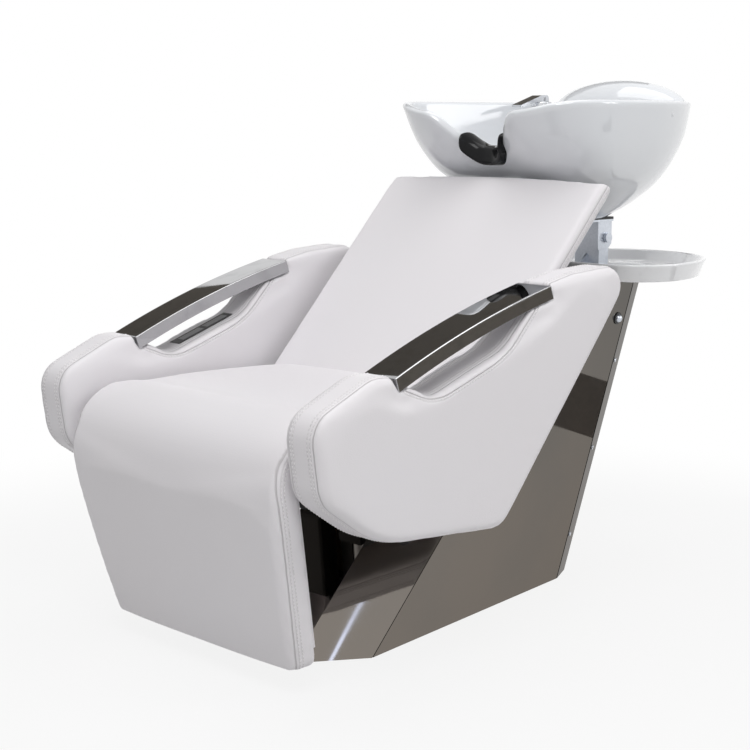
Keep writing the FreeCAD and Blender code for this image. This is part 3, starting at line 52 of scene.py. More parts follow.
# ---- Studio -----------------------------------------------------------------
# A photographer's white cove: pale floor paper, a key soft box high on the
# camera's side, weaker ones behind and above, and flags and a strip lamp that
# only the polished steel mirrors.

lens = bpy.data.cameras.new("studio_camera")
lens.sensor_width = 36.0
lens.lens = 79.402
lens.clip_end = 60.0
camera = bpy.data.objects.new("studio_camera", lens)
camera.location = (2.15694929, -2.12601771, 0.91193211)
camera.rotation_euler = (math.radians(81.2315), 0.0, math.radians(46.614))
scene.collection.objects.link(camera)
scene.camera = camera


class Signal:
    """A socket in a finish's node tree; arithmetic on it adds Math nodes."""

    def __init__(self, tree, socket):
        self.tree = tree
        self.socket = socket

    def node(self, kind, settings, inputs, output=0):
        made = self.tree.nodes.new(kind)
        for name, value in settings.items():
            setattr(made, name, value)
        for name, value in inputs.items():
            if isinstance(value, Signal):
                self.tree.links.new(value.socket, made.inputs[name])
            else:
                made.inputs[name].default_value = value
        return Signal(self.tree, made.outputs[output])

    def math(self, operation, first, second=0.0):
        return self.node("ShaderNodeMath", {"operation": operation}, {0: first, 1: second})

    def __add__(self, other):
        return self.math("ADD", self, other)

    def __sub__(self, other):
        return self.math("SUBTRACT", self, other)

    def __rsub__(self, other):
        return self.math("SUBTRACT", other, self)

    def __mul__(self, other):
        return self.math("MULTIPLY", self, other)

    __radd__ = __add__
    __rmul__ = __mul__

    def above(self, edge, soft):
        """0 below the edge, 1 above it, with a soft step between."""
        limits = {"From Min": edge - soft, "From Max": edge + soft}
        return self.node("ShaderNodeMapRange", {"interpolation_type": "SMOOTHSTEP"}, {"Value": self, **limits})

    def tint(self, low, high):
        return self.node("ShaderNodeMix", {"data_type": "RGBA"}, {0: self, 6: (*low, 1.0), 7: (*high, 1.0)}, 2)

    def noise(self, scale, detail=2.0, stretch=(1.0, 1.0, 1.0)):
        vector = self
        if stretch != (1.0, 1.0, 1.0):
            vector = self.node("ShaderNodeMapping", {}, {"Vector": self, "Scale": stretch})
        return self.node("ShaderNodeTexNoise", {}, {"Vector": vector, "Scale": scale, "Detail": detail}, "Fac")

    def bump(self, depth, under=None):
        inputs = {"Height": self, "Strength": 1.0, "Distance": depth}
        if under is not None:
            inputs["Normal"] = under
        return self.node("ShaderNodeBump", {}, inputs, "Normal")


def open_finish(name):
    material = bpy.data.materials.new(name)
    material.use_nodes = True
    place = material.node_tree.nodes.new("ShaderNodeTexCoord")
    return material, Signal(material.node_tree, place.outputs["Object"])


def close_finish(material, sockets):
    shader = material.node_tree.nodes["Principled BSDF"]
    for name, value in sockets.items():
        if isinstance(value, Signal):
            material.node_tree.links.new(value.socket, shader.inputs[name])
        else:
            shader.inputs[name].default_value = value
    return material


def dress(name, material):
    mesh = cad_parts[name].data
    mesh.materials.clear()
    mesh.materials.append(material)


def seen_or_mirrored(tree):
    """1 for what is looked at, straight or in a mirror; 0 for the light that it gives to the unit."""
    rays = tree.nodes.new("ShaderNodeLightPath")
    seen = Signal(tree, rays.outputs["Is Camera Ray"])
    mirrored = Signal(tree, rays.outputs["Is Glossy Ray"])
    through = Signal(tree, rays.outputs["Is Transmission Ray"])
    return seen.math("MINIMUM", seen + mirrored + through, 1.0)


world = bpy.data.worlds.new("white_cove")
world.use_nodes = True
scene.world = world
cove = world.node_tree.nodes["Background"]
cove.inputs["Color"].default_value = (1.0, 1.0, 1.0, 1.0)
cove_fill = 0.30
level = seen_or_mirrored(world.node_tree) * (1.0 - cove_fill) + cove_fill
world.node_tree.links.new(level.socket, cove.inputs["Strength"])

# The paper is lit by the lamps, but shows nearly white, and quite white further out.
paper, spot = open_finish("floor_paper")
near_white = 0.86
reach = spot.node("ShaderNodeVectorMath", {"operation": "LENGTH"}, {0: spot}, "Value")
far = reach.above(1.35, 0.45)
speck = spot.noise(180.0, 3.0)
close_finish(paper, {"Base Color": speck.tint((0.62, 0.62, 0.62), (0.66, 0.66, 0.66)), "Roughness": 0.7})
glow = spot.node("ShaderNodeEmission", {}, {"Color": (1.0, 1.0, 1.0, 1.0), "Strength": 1.0}, "Emission")
bright = seen_or_mirrored(paper.node_tree) * (far * (1.0 - near_white) + near_white)
lit = Signal(paper.node_tree, paper.node_tree.nodes["Principled BSDF"].outputs["BSDF"])
shown = spot.node("ShaderNodeMixShader", {}, {0: bright, 1: lit, 2: glow}, "Shader")
paper.node_tree.links.new(shown.socket, paper.node_tree.nodes["Material Output"].inputs["Surface"])

bm = bmesh.new()
bmesh.ops.create_grid(bm, x_segments=8, y_segments=8, size=14.0)
mesh = bpy.data.meshes.new("studio_floor")
bm.to_mesh(mesh)
bm.free()
mesh.materials.append(paper)
floor = bpy.data.objects.new("studio_floor", mesh)
scene.collection.objects.link(floor)


def soft_box(name, place, aim, size, power):
    lamp = bpy.data.lights.new(name, "AREA")
    lamp.shape = "RECTANGLE"
    lamp.size, lamp.size_y = size
    lamp.energy = power
    holder = bpy.data.objects.new(name, lamp)
    holder.location = place
    turn = (Vector(aim) - Vector(place)).to_track_quat("-Z", "Y")
    holder.rotation_euler = turn.to_euler()
    scene.collection.objects.link(holder)


soft_box("key_box", (2.0, -2.1, 3.3), (0.0, 0.1, 0.45), (2.0, 1.6), 68.0)
soft_box("rear_box", (2.8, 2.4, 2.0), (0.0, 0.5, 0.7), (1.8, 1.8), 36.0)
soft_box("top_box", (-0.2, 0.2, 3.5), (0.0, 0.2, 0.6), (2.4, 2.4), 38.0)

felt, spot = open_finish("flag_felt")
nap = spot.noise(140.0, 3.0)
close_finish(felt, {"Base Color": nap.tint((0.20, 0.18, 0.155), (0.26, 0.235, 0.20)), "Roughness": 0.9})
grey_board, spot = open_finish("grey_board")
pulp = spot.noise(90.0, 3.0)
close_finish(grey_board, {"Base Color": pulp.tint((0.36, 0.34, 0.33), (0.42, 0.40, 0.385)), "Roughness": 0.9})


def card(name, low, high, width, aim, material):
    """A card from one point to another, turned to its aim, that only shows mirrored in the polished steel."""
    low, high = Vector(low), Vector(high)
    middle, run = (low + high) / 2.0, (high - low).normalized()
    across = run.cross(Vector(aim) - middle).normalized()
    bm = bmesh.new()
    bmesh.ops.create_grid(bm, x_segments=2, y_segments=2, size=0.5)
    for v in bm.verts:
        v.co = middle + across * width * v.co.x + run * (high - low).length * v.co.y
    card_mesh = bpy.data.meshes.new(name)
    bm.to_mesh(card_mesh)
    bm.free()
    card_mesh.materials.append(material)
    stand = bpy.data.objects.new(name, card_mesh)
    scene.collection.objects.link(stand)
    stand.visible_camera = False


tube, spot = open_finish("strip_tube")
cool = spot.noise(3.0, 1.0)
close_finish(tube, {
    "Emission Color": cool.tint((0.55, 0.68, 1.0), (0.65, 0.76, 1.0)),
    "Emission Strength": 5.0,
})
card("grip_flag", (-4.1, 3.0, 2.9), (-4.5, 3.4, 5.3), 4.4, (0.3, -0.2, 0.6), felt)
card("grip_side_flag", (1.75, 0.80, 0.185), (1.58, 1.50, 0.445), 0.13, (0.375, -0.2, 0.57), felt)
card("panel_flag", (0.75, 1.10, 0.078), (0.02, 1.28, 0.078), 0.155, (0.12, 0.38, 0.078), grey_board)
card("facet_strip", (2.68, -1.34, 1.63), (2.61, -0.99, 1.99), 0.012, (0.13, -0.25, 0.07), tube)

# ---- Inner frame ------------------------------------------------------------
# The floor plate, the welded posts and the top plate inside the base are cut
# from mild steel and sprayed with a satin black powder coat.

powder, spot = open_finish("black_powder_coat")
orange_peel = spot.noise(420.0, 2.0)
rubbed = spot.noise(9.0, 4.0).above(0.62, 0.10)
close_finish(powder, {
    "Base Color": rubbed.tint((0.022, 0.022, 0.024), (0.050, 0.050, 0.052)),
    "Roughness": rubbed * 0.12 + 0.42,
    "Normal": orange_peel.bump(0.00008),
})
for node in ("floor_plate", "base_frame", "top_plate", "seat_frame", "leg_frame"):
    dress(node, powder)

# ---- Polished base ----------------------------------------------------------
# Four panels of 2 mm stainless sheet wrap the frame: a folded front, two sides
# and a folded rear cover. They are mirror-polished, a dark brownish steel whose
# darkness partly stands for a painted reflection of a dark room, and which is
# painted darker still on its upper part.

mirror_steel, spot = open_finish("mirror_polished_steel")
roll_wave = spot.noise(2.6, 1.0, (1.0, 0.35, 1.0))
haze = spot.noise(5.0, 5.0).above(0.58, 0.16)
brush = spot.noise(900.0, 2.0, (1.0, 0.02, 1.0))
height = spot.node("ShaderNodeSeparateXYZ", {}, {"Vector": spot}, "Z")
# Painted reflection: the panels are painted darker towards their top, standing for a dark room mirrored there;
# hazy patches are a little darker as well.
painted_dark_top_and_haze = spot.math("MINIMUM", height.above(0.34, 0.30) * 0.8 + haze * 0.25, 1.0)
close_finish(mirror_steel, {
    "Base Color": painted_dark_top_and_haze.tint((0.215, 0.192, 0.170), (0.170, 0.164, 0.155)),
    "Metallic": 1.0,
    "Specular Tint": (0.42, 0.41, 0.40, 1.0),
    "Roughness": haze * 0.03 + brush * 0.015 + 0.014,
    "Normal": roll_wave.bump(0.0016),
})
for node in ("front_panel", "side_panel_left", "side_panel_right", "rear_cover"):
    dress(node, mirror_steel)

# ---- Panel fasteners --------------------------------------------------------
# A domed bolt with a black rubber washer holds each side panel to the cross tie;
# small pan-head screws hold the rear cover. Both are zinc plated and a little dull.

zinc, spot = open_finish("zinc_plate")
spangle = spot.node("ShaderNodeTexVoronoi", {}, {"Vector": spot, "Scale": 260.0}, "Color")
grey = spangle.node("ShaderNodeSeparateColor", {}, {"Color": spangle}, "Red")
smear = spot.noise(38.0, 4.0)
close_finish(zinc, {
    "Base Color": (grey * 0.35 + smear * 0.65).tint((0.50, 0.53, 0.58), (0.66, 0.69, 0.74)),
    "Metallic": 1.0,
    "Roughness": smear * 0.16 + 0.26,
    "Normal": smear.bump(0.00012),
})
rubber, spot = open_finish("black_rubber")
skin = spot.noise(300.0, 3.0)
dust = spot.noise(24.0, 4.0).above(0.56, 0.14)
close_finish(rubber, {
    "Base Color": dust.tint((0.012, 0.012, 0.013), (0.030, 0.029, 0.029)),
    "Roughness": dust * 0.20 + 0.48,
    "Normal": skin.bump(0.0001),
})
for node in ("side_bolts", "cover_screws", "foot_bolts", "tilt_bolt", "arm_bolts", "bracket_foot", "bracket_yoke",
             "hinge_shaft", "arm_spacers"):
    dress(node, zinc)
for node in ("side_washers", "bowl_pad"):
    dress(node, rubber)

# ---- Boards -----------------------------------------------------------------
# Birch plywood under the seat, to which the foam is glued and under which the
# cover is stapled. The boards of the back and the leg rest are wrapped in hide.

plywood, spot = open_finish("birch_plywood")
figure = spot.noise(14.0, 5.0, (0.25, 1.0, 3.0))
pore = spot.noise(520.0, 2.0, (0.06, 1.0, 1.0))
close_finish(plywood, {
    "Base Color": (figure * 0.8 + pore * 0.2).tint((0.46, 0.31, 0.17), (0.70, 0.53, 0.33)),
    "Roughness": pore * 0.15 + 0.55,
    "Normal": pore.bump(0.0001),
})
dress("seat_board", plywood)

# ---- Leg drive --------------------------------------------------------------
# A linear actuator under the seat: drawn aluminium tube, moulded gearbox and
# motor, plated rod with a slotted yoke, and a moulded control box beside it.

aluminium, spot = open_finish("drawn_aluminium")
drawn = spot.noise(700.0, 2.0, (1.0, 0.015, 1.0))
close_finish(aluminium, {
    "Base Color": drawn.tint((0.60, 0.61, 0.62), (0.74, 0.75, 0.76)),
    "Metallic": 1.0,
    "Roughness": drawn * 0.14 + 0.30,
    "Normal": drawn.bump(0.00005),
})
moulding, spot = open_finish("black_moulding")
spark = spot.noise(650.0, 2.0)
close_finish(moulding, {
    "Base Color": spark.tint((0.016, 0.016, 0.017), (0.026, 0.026, 0.027)),
    "Roughness": spark * 0.12 + 0.44,
    "Normal": spark.bump(0.00012),
})
bronze, spot = open_finish("oiled_bronze")
stain = spot.noise(90.0, 4.0)
close_finish(bronze, {
    "Base Color": stain.tint((0.42, 0.25, 0.11), (0.62, 0.42, 0.20)),
    "Metallic": 1.0,
    "Roughness": stain * 0.20 + 0.28,
})
dress("drive_body", aluminium)
dress("drive_rod", zinc)
dress("hinge_bushes", bronze)
for node in ("drive_motor", "drive_clamps", "control_box"):
    dress(node, moulding)

# ---- Switch strip -----------------------------------------------------------
# A slim black bezel let into the lower lip of one hand hole, with two satin
# grey rocker caps that send the leg rest up and down.

grey_cap, spot = open_finish("grey_switch_cap")
fine = spot.noise(800.0, 2.0)
close_finish(grey_cap, {
    "Base Color": fine.tint((0.20, 0.20, 0.205), (0.25, 0.25, 0.255)),
    "Roughness": fine * 0.10 + 0.36,
    "Normal": fine.bump(0.00008),
})
dress("switch_bezel", moulding)
dress("button_up", grey_cap)
dress("button_down", grey_cap)

# ---- Seat and leg cover -----------------------------------------------------
# One white coated-fabric cover runs over the seat foam, round the front roll and
# down the leg rest. Its side bands are sewn on with two rows of white thread.

white_hide, spot = open_finish("white_coated_hide")
cell = spot.node("ShaderNodeTexVoronoi", {"feature": "SMOOTH_F1"}, {"Vector": spot, "Scale": 640.0}, "Distance")
crease = spot.noise(95.0, 4.0)
tone = spot.noise(3.2, 3.0)
rose = tone.tint((0.800, 0.772, 0.790), (0.800, 0.785, 0.812))


def near_line(past, at, half):
    """1 on the line that lies this far past a seam, 0 beyond its half width."""
    return 1.0 - past.math("ABSOLUTE", past - at).above(half, half * 0.7)


# The covers carry, at each point, one more than the distance past their seams. Two rows of
# stitches run beside a seam, and one beside the seam of a hand hole's lip.
first_row, second_row, lip_row = 0.0055, 0.0115, 0.0045
row_half = 0.0010
past_seam = spot.node("ShaderNodeAttribute", {"attribute_name": "seam"}, {}, "Fac") - 1.0
past_lip = spot.node("ShaderNodeAttribute", {"attribute_name": "lip_seam"}, {}, "Fac") - 1.0
sunk = near_line(past_seam, 0.0, 0.0009) + near_line(past_lip, 0.0, 0.0008)
needled = (near_line(past_seam, first_row, row_half) + near_line(past_seam, second_row, row_half)
           + near_line(past_lip, lip_row, row_half))
# Painted shade: the cover is painted darker in the seam grooves and along the stitch rows, standing for shade in
# the groove and the needle holes.
shade = spot.math("MINIMUM", sunk * 0.50 + needled * 0.26, 1.0)
painted_seam_shade = {0: shade, 6: rose, 7: (0.36, 0.34, 0.345, 1.0)}
close_finish(white_hide, {
    "Base Color": spot.node("ShaderNodeMix", {"data_type": "RGBA"}, painted_seam_shade, 2),
    "Roughness": crease * 0.12 + cell * 0.10 + 0.34,
    "Specular IOR Level": 0.45,
    "Normal": (cell * 0.6 + crease * 0.4).bump(0.00022, (1.0 - sunk - needled * 0.35).bump(0.0010)),
})
thread, spot = open_finish("white_thread")
twist = spot.node("ShaderNodeTexWave", {}, {"Vector": spot, "Scale": 420.0, "Distortion": 2.0}, "Fac")
close_finish(thread, {
    "Base Color": twist.tint((0.82, 0.80, 0.81), (0.92, 0.90, 0.91)),
    "Roughness": 0.6,
    "Normal": twist.bump(0.0001),
})


def even_skin(name, nodes, voxel):
    """A closed copy of the foam blocks with one even mesh all over, ready to be filled."""
    bm = bmesh.new()
    for node in nodes:
        bm.from_mesh(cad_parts[node].data)
    bmesh.ops.remove_doubles(bm, verts=bm.verts, dist=2e-5)
    block = bpy.data.meshes.new(name)
    bm.to_mesh(block)
    bm.free()
    pad = bpy.data.objects.new(name, block)
    scene.collection.objects.link(pad)
    even = pad.modifiers.new("even", "REMESH")
    even.mode = "VOXEL"
    even.voxel_size = voxel
    even.adaptivity = 0.0
    apply_modifiers(pad)
    return pad


def apply_modifiers(pad):
    """Turns what the modifiers show into the pad's own mesh."""
    graph = bpy.context.evaluated_depsgraph_get()
    shaped = pad.evaluated_get(graph)
    done = bpy.data.meshes.new_from_object(shaped, preserve_all_data_layers=True, depsgraph=graph)
    pad.modifiers.clear()
    pad.data = done


fill_frames, even_rounds = 20, 150


def fill_out(pad, cap, held, give):
    """Blows the skin up like foam under a tight cover, by no more than the cap.

    held() tells which points stay on their board, and give() how far a move is let through. The
    moves are then evened out over the skin, so that it swells as one.
    """
    rest = [v.co.copy() for v in pad.data.vertices]
    group = pad.vertex_groups.new(name="held")
    group.add([v.index for v in pad.data.vertices if held(v.co)], 1.0, "REPLACE")
    cloth = pad.modifiers.new("fill", "CLOTH")
    cloth.settings.quality = 4
    cloth.settings.mass = 0.25
    cloth.settings.tension_stiffness = 20.0
    cloth.settings.compression_stiffness = 20.0
    cloth.settings.bending_stiffness = 2.0
    cloth.settings.vertex_group_mass = "held"
    cloth.settings.use_pressure = True
    cloth.settings.uniform_pressure_force = 4.0
    cloth.settings.effector_weights.gravity = 0.0
    cloth.collision_settings.use_collision = False
    cloth.point_cache.frame_start = 1
    cloth.point_cache.frame_end = fill_frames
    for moment in range(1, fill_frames + 1):
        scene.frame_set(moment)
    graph = bpy.context.evaluated_depsgraph_get()
    blown = pad.evaluated_get(graph).to_mesh()
    swollen = [v.co.copy() for v in blown.vertices]
    pad.evaluated_get(graph).to_mesh_clear()
    pad.modifiers.remove(cloth)
    scene.frame_set(1)
    moves = np.array([give(new - old) for old, new in zip(rest, swollen)])
    free = np.array([not held(co) for co in rest])
    count = len(rest)
    a, b = np.array([edge.vertices[:] for edge in pad.data.edges]).T
    beside = 1.0 + np.bincount(a, minlength=count) + np.bincount(b, minlength=count)
    for _ in range(even_rounds):
        total = [along + np.bincount(a, along[b], count) + np.bincount(b, along[a], count) for along in moves.T]
        moves[free] = (np.array(total) / beside).T[free]
    for v, old, move in zip(pad.data.vertices, rest, moves):
        move = Vector(move)
        v.co = old + move * min(1.0, cap / max(move.length, 1e-9))
    pad.vertex_groups.remove(group)


def ease(pad, rounds, where=None):
    """Smooths the remeshed skin, all over or where a test says so."""
    bm = bmesh.new()
    bm.from_mesh(pad.data)
    chosen = [v for v in bm.verts if where is None or where(v.co)]
    for _ in range(rounds):
        bmesh.ops.smooth_vert(bm, verts=chosen, factor=0.5, use_axis_x=True, use_axis_y=True, use_axis_z=True)
    for face in bm.faces:
        face.smooth = True
    bm.to_mesh(pad.data)
    bm.free()


def refine(pad):
    """Rounds the skin off into a finer mesh."""
    finer = pad.modifiers.new("finer", "SUBSURF")
    finer.levels = 1
    finer.render_levels = 1
    apply_modifiers(pad)


def spaced(points, step):
    """Points at even steps along a run of straight stretches."""
    runs = [(b - a).length for a, b in zip(points, points[1:])]
    count = max(2, round(sum(runs) / step))
    placed = []
    for i in range(count + 1):
        ahead = sum(runs) * i / count
        for (a, b), run in zip(zip(points, points[1:]), runs):
            if ahead <= run + 1e-9:
                placed.append(a.lerp(b, min(1.0, ahead / max(run, 1e-9))))
                break
            ahead -= run
    return placed


seam_depth, seam_width, stitch_pitch = 0.0009, 0.0040, 0.0066


def draw_in(pad, mark_name, how_far, depth, width):
    """Draws the cover in along a seam and keeps, for the finish, how far past it each point lies (1 is on it)."""
    mark = pad.data.attributes.new(mark_name, "FLOAT", "POINT")
    normals = [n.vector.copy() for n in pad.data.vertex_normals]
    for v, normal in zip(pad.data.vertices, normals):
        past = how_far(v.co)
        mark.data[v.index].value = 1.0 + past
        v.co -= normal * depth * math.exp(-(past / width) ** 2)


def sew(name, pad, rows, body):
    """Short stitches of thread along each row: a fat middle on the cover, both ends pulled into it."""
    bends = ((0.14, -0.0003, 0.7), (0.50, 0.0002, 1.0), (0.86, -0.0003, 0.7))
    tree = BVHTree.FromObject(pad, bpy.context.evaluated_depsgraph_get())
    line = bpy.data.curves.new(name, "CURVE")
    line.dimensions = "3D"
    line.bevel_depth = 0.0008
    line.bevel_resolution = 0
    line.use_fill_caps = True
    for row in rows:
        marks = spaced(row, stitch_pitch)
        for a, b in zip(marks, marks[1:]):
            stitch = line.splines.new("POLY")
            stitch.points.add(len(bends) - 1)
            for point, (share, rise, thick) in zip(stitch.points, bends):
                spot_on, out, _, _ = tree.find_nearest(a.lerp(b, share))
                point.co = (*(spot_on + out * rise), 1.0)
                point.radius = thick
    drawn_thread = bpy.data.objects.new(name, line)
    scene.collection.objects.link(drawn_thread)
    graph = bpy.context.evaluated_depsgraph_get()
    bm = bmesh.new()
    bm.from_mesh(drawn_thread.evaluated_get(graph).to_mesh())
    bpy.data.objects.remove(drawn_thread)
    return settle(name, bm, thread, body, [])


def settle(name, bm, material, body, nodes):
    """Makes the shape a piece: its finish, the body that it rides and the nodes that it replaces."""
    bmesh.ops.remove_doubles(bm, verts=bm.verts, dist=1e-6)
    bmesh.ops.recalc_face_normals(bm, faces=bm.faces)
    for face in bm.faces:
        face.smooth = True
    made = bpy.data.meshes.new(name)
    bm.to_mesh(made)
    bm.free()
    made.materials.append(material)
    piece = bpy.data.objects.new(name, made)
    scene.collection.objects.link(piece)
    if body:
        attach(piece, body)
    if nodes:
        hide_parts(*nodes)
    return piece


hinge = Vector((0.0, -0.462, 0.354))
roll_r, leg_lean = 0.100, math.radians(13.0)
leg_down = Vector((0.0, math.sin(leg_lean), -math.cos(leg_lean)))
leg_out = Vector((0.0, -math.cos(leg_lean), -math.sin(leg_lean)))
leg_foot, leg_back, leg_wide, leg_taper, taper_top = 0.039, 0.057, 0.283, 0.036, 0.3315
seat_low, seat_high, seat_half, seat_front = 0.343, 0.447, 0.280, -0.365
leg_length = (hinge.z - leg_foot - roll_r * math.sin(leg_lean)) / math.cos(leg_lean)
side_inset = 0.008


def leg_half(z):
    """Half the leg rest's width at this height: it narrows from below the roll down to its foot."""
    return leg_wide - leg_taper * min(1.0, max(0.0, (taper_top - z) / (taper_top - leg_foot)))


def on_board(co):
    """Whether the cover is stapled here: under the seat, or on the leg rest's back."""
    if co.y > seat_front and co.z < seat_low:
        return True
    from_hinge = co - hinge
    return from_hinge.dot(leg_out) < leg_back and from_hinge.dot(leg_down) > 0.0


cover = even_skin("seat_and_leg_cover", ["seat_cushion", "leg_cushion"], voxel=0.006)
ease(cover, rounds=10, where=lambda co: -0.47 < co.y < -0.34 and co.z > 0.40)
fill_out(cover, cap=0.006, held=on_board, give=lambda move: Vector((move.x * 0.4, move.y, move.z)))
ease(cover, rounds=4)
ease(cover, rounds=8, where=lambda co: co.z < 0.40 and co.y < -0.40 and abs(co.x) > leg_half(co.z) - 0.016)
refine(cover)


def side_line(side, inset):
    """Along the cover's side, this far inside its outer face: from the seat's back to the leg's foot."""
    line = [Vector((side * seat_half, y, seat_high - inset)) for y in (-0.115, -0.25, -0.41)]
    for degrees in range(78, 194, 5):
        turn = math.radians(degrees)
        reach = roll_r - inset
        y, z = hinge.y + reach * math.cos(turn), hinge.z + reach * math.sin(turn)
        line.append(Vector((side * leg_wide, y, z)))
    for share in (0.0, 0.25, 0.5, 0.75, 1.0):
        at = hinge + leg_out * (roll_r - inset) + leg_down * leg_length * share
        line.append(Vector((side * leg_half(at.z), at.y, at.z)))
    return line


def past_side_seam(co):
    """How far behind the front skin a point lies, less the seam's inset: only the side bands come past it."""
    from_hinge = co - hinge
    if from_hinge.dot(leg_down) > 0.0:
        behind = roll_r - from_hinge.dot(leg_out)
    else:
        on_seat = min(1.0, max(0.0, (co.y + 0.441) / 0.040))
        behind = (roll_r - from_hinge.yz.length) * (1.0 - on_seat) + (seat_high - co.z) * on_seat
    return behind - side_inset


draw_in(cover, "seam", past_side_seam, seam_depth, seam_width)
cover.data.materials.append(white_hide)
dress("leg_board", white_hide)
side_rows = [side_line(side, side_inset + row) for side in (-1, 1) for row in (first_row, second_row)]
cover_stitches = sew("seat_and_leg_stitches", cover, side_rows, None)
for piece in (cover, cover_stitches):
    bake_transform(piece)
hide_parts("seat_cushion", "leg_cushion")

# ---- Backrest cover ---------------------------------------------------------
# A thin foam pad on its board, leaning back as the base does, covered in the
# same white coated fabric with a boxed edge sewn round its two sides and top.

back_foot, back_lean = Vector((0.0, -0.103, 0.441)), math.radians(42.6)
back_high, back_half, back_corner, back_inset = 0.804, 0.270, 0.012, 0.010
back_up = Vector((0.0, math.sin(back_lean), math.cos(back_lean)))
back_out = Vector((0.0, -math.cos(back_lean), math.sin(back_lean)))
back_pad = even_skin("backrest_cover", ["back_cushion", "back_board"], voxel=0.005)
rear_face = min((v.co - back_foot).dot(back_out) for v in back_pad.data.vertices)
fill_out(back_pad, cap=0.006, held=lambda co: (co - back_foot).dot(back_out) < rear_face + 0.004,
         give=lambda move: move * 0.3 + back_out * (move.dot(back_out) * 0.7))
ease(back_pad, rounds=4)
refine(back_pad)


def back_edge(inset):
    """Up one side of the pad, across its top and down the other, this far behind its face."""
    top = (back_high - back_foot.z) / math.cos(back_lean)
    one_side = [(back_half, 0.02), (back_half, top - back_corner), (back_half - back_corner, top)]
    corners = [(-x, up) for x, up in one_side] + one_side[::-1]
    return [back_foot + Vector((x, 0.0, 0.0)) + back_up * up - back_out * inset for x, up in corners]


draw_in(back_pad, "seam", lambda co: -(co - back_foot).dot(back_out) - back_inset, seam_depth, seam_width)
back_pad.data.materials.append(white_hide)
sew("backrest_stitches", back_pad, [back_edge(back_inset + row) for row in (first_row, second_row)], "root")
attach(back_pad, "root")
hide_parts("back_cushion", "back_board")

# ---- Arm covers -------------------------------------------------------------
# Each arm is a foam-padded board in the same white cover: two face panels and a
# band round the edge, sewn with double rows; a hand hole opens below the grip.


def rounded_run(corners, x):
    """The side view's corners (y, z, radius) as a smooth run of points at this x; its ends stay sharp."""
    run = [Vector((x, corners[0][0], corners[0][1]))]
    for before, here, after in zip(corners, corners[1:], corners[2:]):
        at = Vector((x, here[0], here[1]))
        back = (Vector((x, before[0], before[1])) - at).normalized()
        ahead = (Vector((x, after[0], after[1])) - at).normalized()
        half = back.angle(ahead) / 2.0
        reach = here[2] / math.tan(half)
        middle = at + (back + ahead).normalized() * (here[2] / math.sin(half))
        start, end = at + back * reach - middle, at + ahead * reach - middle
        run += [middle + start.slerp(end, step / 8.0) * here[2] for step in range(9)]
    run.append(Vector((x, corners[-1][0], corners[-1][1])))
    return run


# The arm's side view and the lower lip of its hand hole, from the grip's front round to its rear.
arm_outline = [
    (-0.398, 0.520, 0.0), (-0.440, 0.528, 0.060), (-0.566, 0.470, 0.050),
    (-0.548, 0.345, 0.060), (-0.430, 0.262, 0.200), (-0.152, 0.243, 0.045),
    (0.198, 0.667, 0.036), (0.025, 0.657, 0.060), (-0.036, 0.644, 0.0),
]
hole_lip = [
    (-0.378, 0.510, 0.0), (-0.318, 0.486, 0.090), (-0.150, 0.545, 0.180),
    (-0.095, 0.598, 0.025), (-0.070, 0.624, 0.0),
]
arm_inner, arm_outer, arm_middle, band_half = 0.301, 0.375, 0.338, 0.0280
lip_drop = 0.009
grip_front, grip_rear = Vector((0.0, -0.398, 0.523)), Vector((0.0, -0.040, 0.641))
grip_thick, grip_arch = 0.024, 0.009
along = (grip_rear - grip_front).normalized()
upward = Vector((0.0, -along.z, along.y))
grip_length = (grip_rear - grip_front).length
clamp_past, clamp_over, clamp_under, clamp_deep = 0.014, 0.012, 0.034, 0.046


def by_grip(co):
    """Whether the cover is clamped here by the grip, which holds it deeper between its ends."""
    from_front = co - grip_front
    ahead, high = from_front.dot(along), from_front.dot(upward)
    under = clamp_deep if 0.0 < ahead < 0.36 else clamp_under
    return -clamp_past < ahead < grip_length + clamp_past and -under < high < clamp_over


def lip_below(depth, x):
    """The hand hole's lip moved down into the face by this depth."""
    return rounded_run([(y + depth * 0.30, z - depth, r) for y, z, r in hole_lip], x)


lip_corners = ((-0.335, 0.490, 0.038), (-0.305, 0.488, 0.038), (-0.150, 0.545, 0.042), (-0.110, 0.583, 0.036))


def by_lip(co):
    """Whether a point is near one of the lip's corners, where the cover is pulled smooth."""
    return any(math.hypot(co.y - y, co.z - z) < reach for y, z, reach in lip_corners)


left_cover = even_skin("arm_cover_left", ["arm_left"], voxel=0.005)
fill_out(left_cover, cap=0.0065, held=by_grip,
         give=lambda move: Vector((move.x, move.y * 0.25, move.z * 0.25)))
ease(left_cover, rounds=6)
ease(left_cover, rounds=12, where=lambda co: by_lip(co) and not by_grip(co))
refine(left_cover)

# The right arm's cover is the left one mirrored.
bm = bmesh.new()
bm.from_mesh(left_cover.data)
bmesh.ops.scale(bm, vec=(-1.0, 1.0, 1.0), verts=bm.verts)
bmesh.ops.reverse_faces(bm, faces=bm.faces)
mirrored = bpy.data.meshes.new("arm_cover_right")
bm.to_mesh(mirrored)
bm.free()
right_cover = bpy.data.objects.new("arm_cover_right", mirrored)
scene.collection.objects.link(right_cover)

lip_points = spaced(lip_below(lip_drop, 0.0), step=0.001)
lip_tree = KDTree(len(lip_points))
for i, p in enumerate(lip_points):
    lip_tree.insert(p, i)
lip_tree.balance()


def past_lip_seam(co):
    """How far a point lies below the lip's seam; above it the distance is negative."""
    flat = Vector((0.0, co.y, co.z))
    at, i, away = lip_tree.find(flat)
    if 0 < i < len(lip_points) - 1:
        run = lip_points[i + 1] - lip_points[i - 1]
        if (flat - at).cross(run).x < 0.0:
            return -away
    return min(away, 0.008)


